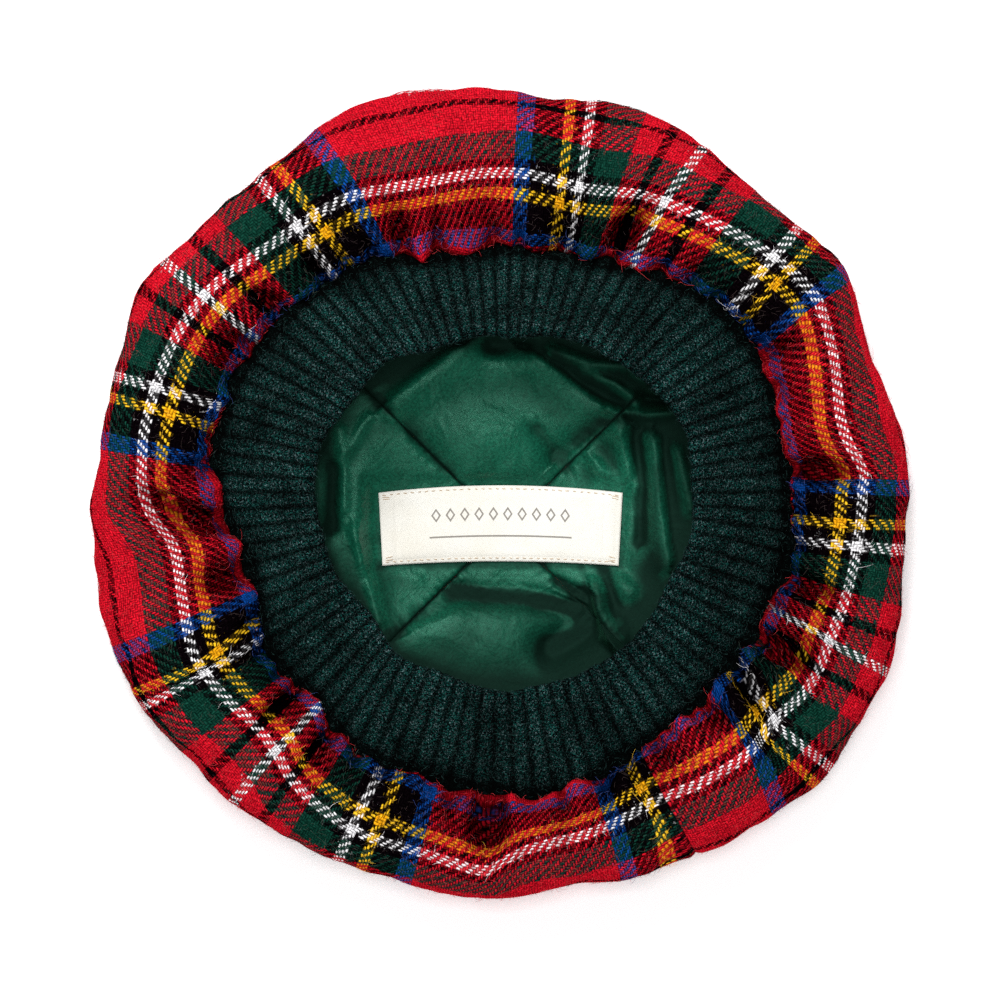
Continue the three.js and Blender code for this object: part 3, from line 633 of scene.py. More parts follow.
def tartan_finish(with_painted_shade):
    """Brushed wool: the twill's yarns, the fibres of each straying over the other, and the nap; with painted
    shade between the yarns and, where asked, painted shade from the piece's shade map.
    """
    f = Finish("tartan_wool")
    u, v, threads = f.uv("threads")
    turned = f.stretched(threads, (1, 1, 1), (0, 0, 1.1))
    fray_u = f.range(f.noise(threads, 0.5, 1.5, 0.6), 0.25, 0.75, -0.24, 0.24)
    fray_v = f.range(f.noise(turned, 0.55, 1.5, 0.6), 0.25, 0.75, -0.24, 0.24)
    colour, under, height = twill(f, f.add(u, fray_u), f.add(v, fray_v))
    # Between the floats the darker of the two yarns shows: partly the yarn beneath, partly painted shade in
    # the gaps
    colour = f.blend(f.range(height, 0.3, 0.62, 0.9, 0.0), colour, f.blend(1.0, colour, under, "DARKEN"))
    # Fibres of the nap: fine strokes of the yarn beneath, and of yarns some threads away
    hairs_a, hairs_b, hairs_c = (
        f.noise(f.stretched(threads, (along, across, 1), (0, 0, turn)), 1.0, 1.0, 0.6, 0.8)
        for along, across, turn in ((0.22, 0.95, 0.55), (0.95, 0.22, -0.35), (0.3, 0.9, -0.9)))
    bright = f.math("MAXIMUM", f.luminance(colour), f.luminance(under))
    mixed = f.range(hairs_a, 0.42, 0.6, 0.0, f.range(bright, 0.3, 0.45, 0.28, 0.04))
    colour = f.blend(mixed, colour, under)
    tinted = f.math("GREATER_THAN", f.luminance(colour), 0.4)
    over_red = f.range(f.luminance(under), 0.03, 0.12, 0.1, 0.6)
    tint = f.range(f.luminance(colour), 0.65, 0.9, over_red, 0.12)
    colour = f.blend(f.times(tinted, tint), colour, f.blend(1.0, colour, under, "MULTIPLY"))
    stray_u = f.range(f.noise(turned, 0.3, 2.0, 0.7, 0.6), 0.3, 0.7, -3.5, 3.5)
    stray_v = f.range(f.noise(threads, 0.3, 2.0, 0.7, 0.6), 0.3, 0.7, -3.5, 3.5)
    stray, _, _ = twill(f, f.add(u, stray_u), f.add(v, stray_v))
    colour = f.blend(f.range(hairs_b, 0.6, 0.66, 0.0, 0.35), colour, stray)
    dark_hair = f.range(hairs_c, 0.36, 0.43, 0.7, 0.0)
    colour = f.blend(dark_hair, colour, f.blend(1.0, colour, stray, "DARKEN"))
    # Painted shade in the gaps between the yarns, with specks and cloudy patches that vary the tone at random
    specks = f.range(f.noise(threads, 0.75, 1.5, 0.7), 0.3, 0.7, 0.5, 1.4)
    painted_gap_shade = f.range(height, 0.0, 0.7, 0.42, 1.12)
    cloudy = f.range(f.noise(threads, 0.08, 3.0), 0.3, 0.7, 0.84, 1.12)
    tone = f.times(f.times(painted_gap_shade, specks), cloudy)
    # Painted shade in the cloth's creases, gathers and puckers and along the band seam, from the piece's
    # shade map
    if with_painted_shade:
        painted_shade, _, _ = f.uv("hollows")
        tone = f.times(tone, f.range(painted_shade, 0.0, 1.0, 1.0, 0.22))
    colour = f.blend(1.0, colour, tone, "MULTIPLY")
    nap = f.add(f.times(height, 0.5), f.add(hairs_a, hairs_b))
    f.set(Base_Color=colour, Normal=f.bump(nap, 0.0008), Roughness=0.95, Specular_IOR_Level=0.0)
    return f.material


def nap_finish():
    """Loose fibres of the cloth, each the colour of the yarn that it grows from."""
    f = Finish("tartan_nap")
    u, v, _ = f.uv("threads")
    colour, _, _ = twill(f, u, v)
    colour = f.blend(0.1, colour, linear(200, 170, 166))
    f.set(Base_Color=colour, Roughness=0.9, Specular_IOR_Level=0.15)
    return f.material


def band_nap_finish():
    """Loose fibres of the knit band."""
    f = Finish("band_nap")
    tone = f.ramp(f.noise(f.place(), 400.0, 1.0), [(0.35, linear(8, 30, 29)), (0.65, linear(48, 80, 76))])
    f.set(Base_Color=tone, Roughness=0.9, Specular_IOR_Level=0.15)
    return f.material


def knit_finish():
    """Dark green heather wool in ribs of V stitches, with painted shade in the rib valleys, painted light and
    shade on the V stitches, and painted shade under the cloth's edge.
    """
    f = Finish("ribbed_knit")
    u, v, ribs = f.uv("ribs")
    place = f.place()
    strokes_a, strokes_b, strokes_c = (
        f.noise(f.stretched(place, (along, across, 1), (0, 0, turn)), fine, 1.0, 0.7, 0.6)
        for along, across, turn, fine in (
            (1.0, 0.55, 0.6, 2500.0), (0.55, 1.0, -0.5, 2300.0), (1.0, 0.6, -0.2, 2200.0)))
    colour = f.blend(f.range(strokes_a, 0.49, 0.56, 0.0, 1.0), linear(0, 0, 1), linear(5, 29, 28))
    colour = f.blend(f.range(strokes_b, 0.57, 0.61, 0.0, 1.0), colour, linear(20, 72, 66))
    colour = f.blend(f.range(strokes_c, 0.62, 0.66, 0.0, 0.7), colour, linear(96, 118, 120))
    part = f.apart(f.math("FRACT", u), 0.5)
    # Painted shade in the valleys between the ribs, and painted light and shade along the legs of each V
    # stitch
    painted_valley_shade = f.range(part, 0.22, 0.48, 1.0, 0.18)
    slanted = f.math("FRACT", f.math("SUBTRACT", v, f.times(part, 1.6)))
    leg = f.math("SINE", f.times(slanted, math.pi))
    lit = f.times(painted_valley_shade, f.range(leg, 0.0, 0.6, 0.7, 1.08))
    painted_shade, _, _ = f.uv("hollows")
    streaks = f.noise(f.stretched(ribs, (1.6, 0.28, 1)), 1.0, 2.0, 0.6)
    mottle = f.add(streaks, f.noise(place, 60.0, 2.0))
    lit = f.times(lit, f.range(mottle, 0.75, 1.25, 0.42, 1.5))
    # Painted shade under the cloth's edge, from the band's shade map
    lit = f.times(lit, f.range(painted_shade, 0.0, 1.0, 1.0, 0.08))
    colour = f.blend(1.0, colour, lit, "MULTIPLY")
    fibre = f.add(strokes_a, strokes_b)
    height = f.add(f.times(leg, 0.4), fibre)
    relief = f.bump(height, 0.0007, 0.9)
    f.set(Base_Color=colour, Normal=relief, Roughness=0.95, Specular_IOR_Level=0.03)
    return f.material


def satin_finish():
    """Emerald lining satin: smooth, glossy, with fine crinkles, and with painted shade in its folds and under
    the band's lip.
    """
    f = Finish("lining_satin")
    place = f.place()
    crumple = f.noise(place, 38.0, 3.0, 0.5, 0.8)
    crinkle = f.noise(place, 150.0, 4.0, 0.6, 0.8)
    weave = f.noise(f.stretched(place, (1.0, 5.0, 1.0)), 1900.0, 2.0, 0.6)
    tone = f.ramp(f.noise(place, 45.0, 2.0), [(0.3, linear(11, 68, 50)), (0.7, linear(20, 86, 65))])
    grain = f.noise(place, 1100.0, 1.5, 0.7)
    # Painted shade from the folds, the pockets, the band's lip and the label's edges darkens the tone, broken
    # by a fine random grain; the same map roughens the satin
    painted_shade, _, _ = f.uv("hollows")
    deep = f.range(painted_shade, 0.0, 1.0, 1.0, 0.06)
    tone = f.blend(1.0, tone, f.times(deep, f.range(grain, 0.3, 0.7, 0.64, 1.4)), "MULTIPLY")
    bumped = f.bump(crumple, 0.0045, 0.6)
    bumped = f.bump(crinkle, 0.0009, 0.6, bumped)
    bumped = f.bump(weave, 0.00012, 0.5, bumped)
    rough = f.add(f.range(weave, 0.3, 0.7, 0.25, 0.35), f.times(painted_shade, 0.5))
    f.set(Base_Color=tone, Normal=bumped, Roughness=rough)
    f.set(Specular_IOR_Level=0.34, Specular_Tint=linear(165, 255, 222))
    f.set(Sheen_Weight=0.04, Sheen_Roughness=0.35, Sheen_Tint=linear(90, 220, 160))
    return f.material


def label_finish():
    """Cream woven ribbon."""
    f = Finish("woven_ribbon")
    u, v, _ = f.uv("ribbon")
    warp = f.math("SINE", f.times(u, math.pi * 2))
    weft = f.math("SINE", f.times(v, math.pi * 2))
    weave = f.times(warp, weft)
    soil = f.noise(f.place(), 90.0, 3.0)
    tone = f.ramp(soil, [(0.3, linear(250, 246, 234)), (0.7, linear(254, 252, 244))])
    colour = f.blend(1.0, tone, f.range(weave, -1.0, 1.0, 0.93, 1.03), "MULTIPLY")
    # A row of lozenges over a thin rule, woven in dark thread
    spot_x, spot_y, _ = f.uv("spot")
    inside = f.math("LESS_THAN", f.math("ABSOLUTE", spot_x), 25.0)
    cell = f.apart(f.math("FLOORED_MODULO", spot_x, 5.0), 2.5)
    tall = f.apart(spot_y, 3.2)
    diamond = f.add(f.math("DIVIDE", cell, 1.7), f.math("DIVIDE", tall, 2.4))
    ring = f.math("LESS_THAN", f.apart(diamond, 0.8), 0.2)
    line = f.math("LESS_THAN", f.math("ABSOLUTE", f.add(spot_y, 4.2)), 0.3)
    drawn = f.times(inside, f.math("MAXIMUM", ring, line))
    colour = f.blend(f.times(drawn, 0.72), colour, linear(84, 72, 66))
    f.set(Base_Color=colour, Normal=f.bump(weave, 0.00012, 0.6), Roughness=0.75)
    f.set(Sheen_Weight=0.1, Specular_IOR_Level=0.25)
    return f.material


def thread_finish():
    """Sewing thread of a pale brown."""
    f = Finish("label_thread")
    shade = f.noise(f.place(), 2500.0, 2.0)
    tone = f.ramp(shade, [(0.3, linear(176, 148, 118)), (0.7, linear(226, 206, 180))])
    f.set(Base_Color=tone, Roughness=0.6, Normal=f.bump(shade, 0.0001, 0.5))
    return f.material


def stripe_threads(deg):
    """Thread numbers round the strip at the rim, half way and at the seam, for each station."""
    numbers = [STRIP_THREADS[0]]
    for turn in range(4):
        numbers += [REPEAT * turn + t for t in STRIPE_THREADS]
    numbers += [REPEAT * 4 + t for t in STRIPE_THREADS[:2]]
    numbers.append(STRIP_THREADS[1])
    found = []
    for rows, last in zip((STRIPES_AT_RIM, STRIPES_HALF_WAY, STRIPES_AT_SEAM), LAST_STRIPES):
        places = [STRIP_START, *(d for row in rows for d in row), *last, STRIP_START + 360]
        found.append(np.interp(deg, places, numbers))
    return found


def pucker_lift(deg, arc):
    """Small uneven gathers along the band seam, up or down, fading outward."""
    draw = np.random.default_rng(5)
    lift = np.zeros(np.broadcast(deg, arc).shape)
    place = 0.0
    while place < 359:
        place += draw.uniform(2.6, 6.0)
        width, reach = draw.uniform(0.8, 2.2), draw.uniform(6, 22)
        depth, lean = draw.uniform(0.8, 2.6), draw.uniform(-0.18, 0.18)
        turn = turn_between(place + lean * arc, deg)
        lift -= depth * bell(turn, width) * bell(arc, reach)
    return lift


def gather_depth(deg, arc):
    """How deep the gathers sink the cloth at a distance outward from the band seam."""
    depth = np.zeros(np.broadcast(deg, arc).shape)
    for place, width, deep, reach, lean in GATHERS:
        turn = turn_between(place + lean * arc, deg)
        depth += deep * bell(turn, width) * (1 - smooth(arc, reach * 0.3, reach))
    return depth


def strip_faces(deg, radius, height, arc, pucker, gather):
    """Outer and inner face of the strip, the outer face's normals, and the rows that the inner one has."""
    turn = deg[:, None]
    outer = polar(radius, turn, height)
    normal = -grid_normals(outer, True)
    upper = smooth(height, 4, 16)
    lift = (pucker - gather) * smooth(arc, 0, 2.5) + ROLL_SWELL * bell(arc, SWELL_REACH)
    lift += upper * SLOW_WAVES * (waves(turn, arc, 5, 26, 14, 21) - WAVE_SINK)
    lift += upper * QUICK_WAVES * waves(turn, arc, 20, 70, 16, 22)
    end_seam = turn_between(STRIP_START, deg)[:, None] * np.radians(1) * radius
    lift -= END_SEAM_DEPTH * upper * bell(end_seam, END_SEAM_REACH)
    outer += normal * lift[..., None]
    # The seam edge leans over the band where the cloth bulges
    lean = pucker_lift(turn, 0 * arc) * 0.4 - gather_depth(turn, 0 * arc) * 0.55
    edge = (np.clip(lean, LEAN_BACK, LEAN_OVER) + LEAN_USUAL) * bell(arc, LEAN_REACH)
    outer[..., :2] *= (1 - edge / radius)[..., None]
    outer[..., 2] = np.maximum(outer[..., 2] + edge * LEAN_RISE, 0.0)
    normal = -grid_normals(outer, True)
    rows = np.unique(np.linspace(0, outer.shape[1] - 1, INNER_ROWS).round().astype(int))
    inner = outer[:, rows] - normal[:, rows] * CLOTH_WALL
    inner[..., 2] = np.maximum(inner[..., 2], 0.0)
    inner[:, -2:, 2] = np.maximum(inner[:, -2:, 2], CLOTH_WALL)
    return outer, inner, normal, rows


def strip_threads(deg, radius, arc, way):
    """Thread numbers of the strip at each place: along the strip, and outward from the band seam."""
    at_rim, half_way, at_seam = (t[:, None] for t in stripe_threads(STATION_DEG))
    share = closed(np.maximum.accumulate(np.clip(way, 0, 1), 1))
    u = np.where(share < 0.5, mix(at_seam, half_way, share * 2), mix(half_way, at_rim, share * 2 - 1))
    # Outward by arc length, drawn so that the white stripe lies where it is seen
    white = RIM_RADIUS * closed_curve(WHITE_STRIPE, deg)
    top = slice(0, CLOTH_ROWS[0])
    white_arc = np.array([np.interp(w, r[top], s[top]) for w, r, s in zip(white, radius, arc)])[:, None]
    bend = (white_arc / THREAD_PITCH - WHITE_THREAD) / white_arc**2
    near_thread = bend * arc**2 + (1 / THREAD_PITCH - 2 * bend * white_arc) * arc
    seam_thread = closed_curve(SEAM_THREADS, deg)[:, None]
    near_thread += seam_thread * (1 - arc / white_arc)**2
    # Close to the seam the cloth turns under, so its stripes are seen crowded together
    turned_under = np.minimum(closed_curve(TURNED_THREADS, deg)[:, None] - seam_thread, 0)
    near_thread += turned_under * bell(arc, TURN_REACH)
    far_thread = WHITE_THREAD + (arc - white_arc) / FAR_PITCH
    return u, closed(np.where(arc < white_arc, near_thread, far_thread))


def strip_painted_shade(deg, height, arc, way, pucker, gather):
    """How much painted shade each place of the strip gets, from 0 to 1: in its creases, gathers and puckers
    and along the band seam, and less where the cloth bulges.
    """
    painted_shade = np.clip(crease_drop(deg[:, None], way) / ROLL_RISE, 0, 1) * smooth(height, 8, 30)
    painted_shade = 0.6 * painted_shade + np.clip(-pucker / 3.0, 0, 0.6) + np.clip(gather / 3.0, -0.5, 1.0)
    painted_shade += 0.32 * bell(arc, 2.5) + 0.3 * bell(arc, 14.0)
    return closed(np.clip(painted_shade, 0, 1))


def build_strip(material, nap_material):
    """The strip of cloth from the band seam, over the rim, to the disc."""
    deg = STATION_DEG[:-1]
    radius, height, steps = cloth_profiles(deg)
    marks = [0, 2 * steps, 3 * steps, 4 * steps]
    radius, height, arc = resample(radius, height, marks, CLOTH_ROWS)
    seam, rim = seam_radius(deg)[:, None], rim_radius(deg)[:, None]
    way = (radius - seam) / (rim - seam)
    pucker, gather = PUCKER_SHARE * pucker_lift(deg[:, None], arc), gather_depth(deg[:, None], arc)
    outer, inner, normal, rows = strip_faces(deg, radius, height, arc, pucker, gather)
    u, v = strip_threads(deg, radius, arc, way)
    # Painted shade for the cloth's colour: darker in the creases, gathers and puckers and along the band seam
    painted_shade = strip_painted_shade(deg, height, arc, way, pucker, gather)
    points = np.concatenate([outer[:, ::-1], inner], 1)
    full_u = np.concatenate([u[:, ::-1], u[:, rows], u[:, -1:]], 1)
    full_v = np.concatenate([v[:, ::-1], v[:, rows], v[:, -1:]], 1)
    full_painted_shade = np.concatenate([painted_shade[:, ::-1], 0 * u[:, rows], painted_shade[:, -1:]], 1)
    maps = {"threads": ring_map(full_u, full_v), "hollows": ring_map(full_painted_shade, full_painted_shade)}
    quads = ring_quads(CLOTH_STATIONS, points.shape[1])
    piece = new_piece("crown_strip", points.reshape(-1, 3), quads, maps, material)
    nap = outer[:, :-4].reshape(-1, 3), normal[:, :-4].reshape(-1, 3)
    maps = {"threads": np.stack([u[:-1, :-4], v[:-1, :-4]], -1).reshape(-1, 2)}
    return piece, build_fuzz("crown_nap", *nap, maps, FIBRES, FIBRE_LENGTH, nap_material, 71)


def tube_triangles(count, rings, sides):
    """Triangles of closed tubes whose points go ring by ring."""
    faces = []
    for low in range((rings - 1) * sides):
        high = low + 1 if (low + 1) % sides else low + 1 - sides
        faces += [(low, high, high + sides), (low, high + sides, low + sides)]
    last = (rings - 1) * sides
    for k in range(1, sides - 1):
        faces += [(0, k + 1, k), (last, last + k, last + k + 1)]
    start = rings * sides * np.arange(count)
    return (start[:, None, None] + np.array(faces)).reshape(-1, 3)


def build_fuzz(name, base, outward, maps, count, length, material, seed):
    """Thin curled fibres that stand off a surface, each a closed tube of three sides.

    A map gives the (u, v) of each place on the surface, which a fibre takes over from its root.
    """
    draw = np.random.default_rng(seed)
    pick = draw.choice(len(base), count, replace=count > len(base))
    root, normal = base[pick], outward[pick]
    side = np.cross(normal, draw.normal(size=(count, 3)))
    side /= np.linalg.norm(side, axis=1, keepdims=True)
    reach = length * draw.lognormal(0, 0.45, count)[:, None]
    stand = draw.uniform(0.15, 0.75, count)[:, None]
    lean = side * np.sqrt(1 - stand**2) + normal * stand
    curl = np.cross(lean, normal) * draw.uniform(-0.7, 0.7, count)[:, None]
    steps = np.array([-0.12, 0.35, 0.72, 1.0])
    spine = np.stack([root + lean * reach * t + (curl - normal * 0.35) * reach * t * t for t in steps], 1)
    along = spine[:, -1] - spine[:, 0]
    first = np.cross(along, draw.normal(size=(count, 3)))
    first /= np.linalg.norm(first, axis=1, keepdims=True)
    second = np.cross(along, first)
    second /= np.linalg.norm(second, axis=1, keepdims=True)
    thick = FIBRE_RADIUS * np.array([1.0, 0.9, 0.7, 0.35])
    rings = []
    for corner in range(3):
        a = 2 * math.pi * corner / 3
        ray = first * math.cos(a) + second * math.sin(a)
        rings.append(spine + ray[:, None] * thick[None, :, None])
    points = np.stack(rings, 2).reshape(-1, 3)
    points[:, 2] = np.maximum(points[:, 2], FIBRE_LOWEST)
    triangles = tube_triangles(count, 4, 3)
    owner = np.repeat(pick, triangles.size // count)
    own_maps = {label: uv[owner] for label, uv in maps.items()}
    return new_piece(name, points, triangles, own_maps, material)


def build_disc(material):
    """The flat disc that closes the crown, lying on the surface."""
    stations, rings = 180, 24
    deg = 360 * np.arange(stations) / stations
    radius = np.linspace(1.0, DISC_RADIUS, rings)
    top = polar(radius[None, :], deg[:, None], CLOTH_WALL + 0 * radius[None, :])
    top[..., 2] += 0.12 * waves(deg[:, None], radius[None, :], 2, 9, 8, 31)
    bottom = polar(radius[None, :], deg[:, None], 0 * radius[None, :])
    points = np.concatenate([top[:, ::-1], bottom], 1)
    quads = ring_quads(stations, points.shape[1])
    flat = points.reshape(-1, 3)[quads.ravel()][:, :2] / THREAD_PITCH
    return new_piece("crown_disc", points.reshape(-1, 3), quads, {"threads": flat}, material)


def band_sections(width):
    """Way along the band, depth below its upper face, and length of knit, for stations by rows."""
    half = BAND_THICKNESS / 2
    reach = width - half
    top_rows, fold_rows, under_rows = BAND_ROWS
    rows = []
    for share in np.linspace(0, 1, top_rows):
        along = mix(-BAND_TUCK, reach, share)
        rows.append((along, -TOP_BULGE * np.sin(np.pi * share) * smooth(along, 0, 8), along))
    for angle in np.linspace(0, math.pi, fold_rows + 2)[1:-1]:
        depth = half - half * np.cos(angle) + 0 * width
        rows.append((reach + half * np.sin(angle), depth, reach + half * angle))
    for share in np.linspace(1, 0, under_rows):
        along = mix(-BAND_TUCK, reach, share)
        depth = BAND_THICKNESS - UNDER_BULGE * np.sin(np.pi * share) * smooth(along, 0, 8)
        rows.append((along, depth, width + BAND_THICKNESS - along))
    return np.transpose(np.array(rows), (1, 2, 0))


def build_band(material, nap_material):
    """The doubled knit: up from under the cloth, round the fold at the mouth, and back inside."""
    stations = RIBS * BAND_STEPS
    deg = 360 * np.arange(stations + 1) / stations
    turn = deg[:, None]
    seam, mouth = seam_radius(deg), mouth_radius(deg)
    level = MOUTH_HEIGHT * closed_curve(MOUTH_LEVEL, deg)
    way = np.stack([mouth - seam, level - SEAM_HEIGHT], -1)
    width = np.linalg.norm(way, axis=1)
    way = way / width[:, None]
    below = np.stack([-way[:, 1], way[:, 0]], -1)
    below = np.where(below[:, 1:] > 0, -below, below)
    start = np.stack([seam, SEAM_HEIGHT + 0 * seam], -1) + below * SEAM_CLEARANCE
    along, depth, knitted = band_sections(width)
    row_place = knitted / KNIT_ROW
    rib = RIBS * turn / 360 + 0.06 * waves(turn, row_place, 3, 16, 10, 42)
    part = np.abs(np.mod(rib, 1) - 0.5)
    flatter = mix(0.3, 1.0, smooth(np.abs(knitted - width[:, None]), 1.0, 9.0))
    flatter = flatter * (0.85 + 0.15 * waves(turn, row_place, 30, 90, 10, 44))
    ribs = RIB_DEPTH * (smooth(part, 0.5, 0.24) - 1) * flatter - 0.16 * bell(part, 0.07)
    stitch = 0.16 * np.cos(2 * np.pi * (row_place - 1.6 * part)) * smooth(part, 0.5, 0.3)
    lift = ribs + stitch + 0.25 * waves(turn, row_place, 4, 40, 14, 43)
    ripple = (1 + 0.03 * waves(deg, 0 * deg, 3, 14, 8, 41))[:, None]
    centre = start[:, None] + way[:, None] * (along * ripple)[..., None] + below[:, None] * depth[..., None]
    flat = polar(centre[..., 0], turn, centre[..., 1])
    points = flat[:-1] + grid_normals(flat[:-1], True) * lift[:-1, :, None]
    full_u = np.concatenate([rib, rib[:, :1]], 1)
    full_v = np.concatenate([row_place, row_place[:, -1:] + 1], 1)
    # Painted shade on the band under the cloth's edge, fading inward, with a broad fainter darkening and
    # random waves
    shaded = np.maximum(along - 3.2, 0)
    painted_shade = np.exp(-shaded / 2.2) + 0.35 * np.exp(-shaded / 12.0)
    painted_shade = np.clip(painted_shade + 0.12 * waves(turn, row_place, 3, 30, 10, 45), 0, 1)
    painted_shade = np.concatenate([painted_shade, painted_shade[:, :1]], 1)
    maps = {"ribs": ring_map(full_u, full_v), "hollows": ring_map(painted_shade, painted_shade)}
    quads = ring_quads(stations, points.shape[1])
    band = new_piece("ribbed_band", points.reshape(-1, 3), quads, maps, material)
    shown = slice(6, sum(BAND_ROWS[:2]))
    nap = points[:, shown].reshape(-1, 3), grid_normals(points, True)[:, shown].reshape(-1, 3)
    return band, build_fuzz("band_nap", *nap, {}, BAND_FIBRES, BAND_FIBRE_LENGTH, nap_material, 72)


def band_point(deg, inward, depth):
    """Radius and height of a place on the band, a way inward from the cloth and a depth below its face."""
    seam, mouth = seam_radius(deg), mouth_radius(deg)
    level = MOUTH_HEIGHT * closed_curve(MOUTH_LEVEL, deg)
    run, rise = mouth - seam, level - SEAM_HEIGHT
    width = np.hypot(run, rise)
    run, rise = run / width, rise / width
    deep = depth + SEAM_CLEARANCE
    return seam + run * inward - rise * deep, SEAM_HEIGHT + rise * inward + run * deep


def crest_distance(x, y, crest):
    """Signed distance to a line of points, positive on its left."""
    best = np.full(x.shape, 1e9)
    side = np.ones(x.shape)
    for (x1, y1), (x2, y2) in zip(crest[:-1], crest[1:]):
        dx, dy = x2 - x1, y2 - y1
        share = np.clip(((x - x1) * dx + (y - y1) * dy) / (dx * dx + dy * dy), 0, 1)
        away = np.hypot(x - x1 - share * dx, y - y1 - share * dy)
        turn = dx * (y - y1) - dy * (x - x1)
        nearer = away < best
        best = np.where(nearer, away, best)
        side = np.where(nearer, np.sign(turn), side)
    return best * np.where(side < 0, -1, 1)


def ridges(x, y, rows):
    """Sum of ridges, each a crest with its height and its reach on its left and on its right."""
    total = np.zeros(x.shape)
    for crest, height, left, right in rows:
        away = crest_distance(x, y, crest)
        total += height * bell(away, np.where(away > 0, left, right))
    return total


def lining_lift(x, y):
    """How far the folds and the swellings lift the lining at places seen from above."""
    lift = FOLD_GAIN * ridges(x, y, FOLDS)
    for middle_x, middle_y, swell, reach_x, reach_y in SWELLINGS:
        lift += swell * np.exp(-((x - middle_x) / reach_x)**2 - ((y - middle_y) / reach_y)**2)
    return lift


def past_label(x, y):
    """How far a place lies outside the label's edges, negative under it."""
    return np.maximum(np.abs(x - LABEL_X) - LABEL_LENGTH / 2, np.abs(y - LABEL_Y) - LABEL_WIDTH / 2)


def lining_painted_shade(x, y):
    """How much painted shade a place on the lining gets: in a fold, under the band's lip, in the pockets and
    along the label's edges.
    """
    around = 0
    for turn in range(8):
        a = math.pi * turn / 4
        around = around + lining_lift(x + LOOK_AROUND * math.cos(a), y + LOOK_AROUND * math.sin(a))
    fold = np.clip((around / 8 - lining_lift(x, y)) / 1.5, -0.25, 1)
    deg = np.degrees(np.arctan2(y, x))
    under = np.maximum(mouth_radius(deg) - np.hypot(x, y), 0)
    shade = 0.7 * fold + np.exp(-(under / closed_curve(LIP_SHADE, deg))**1.4)
    # Painted shadow along the label's edges, set a little toward its foot, and painted shade in the pockets
    from_label = np.maximum(past_label(x, y + LABEL_SHADE_DROP), 0)
    return shade + ridges(x, y, SHADE_POCKETS) + 0.6 * np.exp(-from_label / 0.9)


def lining_place(deg, share):
    """A place on the lining's upper face, on the way from its apex to its hem."""
    hem_radius, hem_height = band_point(deg, LINING_INSET - BAND_TUCK, BAND_THICKNESS + HEM_CLEARANCE)
    a = np.radians(deg)
    x = mix(APEX_X, hem_radius * np.cos(a), share)
    y = mix(APEX_Y, hem_radius * np.sin(a), share)
    rise = hem_height - LINING_FLOOR
    fade = 1 - smooth(share, FOLDS_END - FOLDS_FADE, FOLDS_END)
    free = smooth(past_label(x, y), 0.5, LABEL_MARGIN * 2) * fade
    height = LINING_FLOOR + rise * share**LINING_POWER + lining_lift(x, y) * free
    lowest = LINING_FLOOR - LINING_SINK * (1 - free)
    return np.stack([x, y, np.maximum(height, lowest)], -1)


def build_gore(name, start, end, material):
    """One gore of the lining, its long edges turned down into the seams and puckered along them."""
    share = np.linspace(0.012, 1, GORE_OUT + 1)[None, :]
    margin = np.degrees(GORE_GAP / (share * SEAM_RADIUS))
    across = np.linspace(0, 1, GORE_AROUND + 1)
    across = (0.5 - 0.5 * np.cos(np.pi * across))[:, None]
    deg = start + margin + (end - start - 2 * margin) * across
    top = lining_place(deg, share)
    reach = GORE_LENGTH * share
    from_seam = np.minimum(across, 1 - across) * np.radians(end - start) * reach
    pucker = 0.5 + 0.5 * np.sin(reach * 1.5 + 3 * np.sin(reach * 0.31 + start))
    top[..., 2] -= 1.2 * np.exp(-from_seam / 0.6)
    top[..., 2] += 0.8 * (pucker - 0.5) * bell(from_seam, 3.5) * smooth(share, 0.1, 0.3)
    # Painted shade: from the folds, the band's lip, the pockets and the label, darker still along the gore
    # seams, and lighter and darker with the puckers
    shade = lining_painted_shade(top[..., 0], top[..., 1]) + 0.35 * np.exp(-from_seam / 1.2)
    shade = shade + 0.6 * bell(from_seam, 0.45)
    shade = np.clip(shade + 0.25 * (0.5 - pucker) * bell(from_seam, 3.5), 0, 1)
    top[..., 2] = np.maximum(top[..., 2], CLOTH_WALL + LINING_WALL + 0.15)
    low = top.copy()
    low[..., 2] -= LINING_WALL
    points, quads = sheet_shell(top, low)
    shade = np.concatenate([shade.ravel(), shade.ravel()])[quads.ravel()]
    return new_piece(name, points, quads, {"hollows": np.stack([shade, shade], -1)}, material)


def sheet_shell(top, low):
    """Points and quads of a closed sheet from the grids of its two faces."""
    columns, rows = top.shape[:2]
    index = np.arange(columns * rows).reshape(columns, rows)
    under = index + columns * rows
    upper = corners(index).reshape(-1, 4)
    lower = corners(under)[..., [0, 3, 2, 1]].reshape(-1, 4)
    rim = np.concatenate([index[:, 0], index[-1, 1:], index[-2::-1, -1], index[0, -2:0:-1]])
    rim_under = rim + columns * rows
    ahead, ahead_under = np.roll(rim, -1), np.roll(rim_under, -1)
    sides = np.stack([rim, rim_under, ahead_under, ahead], -1)
    return np.concatenate([top.reshape(-1, 3), low.reshape(-1, 3)]), np.concatenate([upper, lower, sides])


def lining_height(x, y):
    """Height of the lining under places near its apex."""
    away_x, away_y = x - APEX_X, y - APEX_Y
    angle = np.degrees(np.arctan2(away_y, away_x))
    deg, share = angle.copy(), np.zeros(x.shape)
    for _ in range(8):
        hem_radius, _ = band_point(deg, LINING_INSET - BAND_TUCK, BAND_THICKNESS + HEM_CLEARANCE)
        reach_x = hem_radius * np.cos(np.radians(deg)) - APEX_X
        reach_y = hem_radius * np.sin(np.radians(deg)) - APEX_Y
        share = np.hypot(away_x, away_y) / np.hypot(reach_x, reach_y)
        deg += turn_between(np.degrees(np.arctan2(reach_y, reach_x)), angle)
    return lining_place(deg, share)[..., 2]


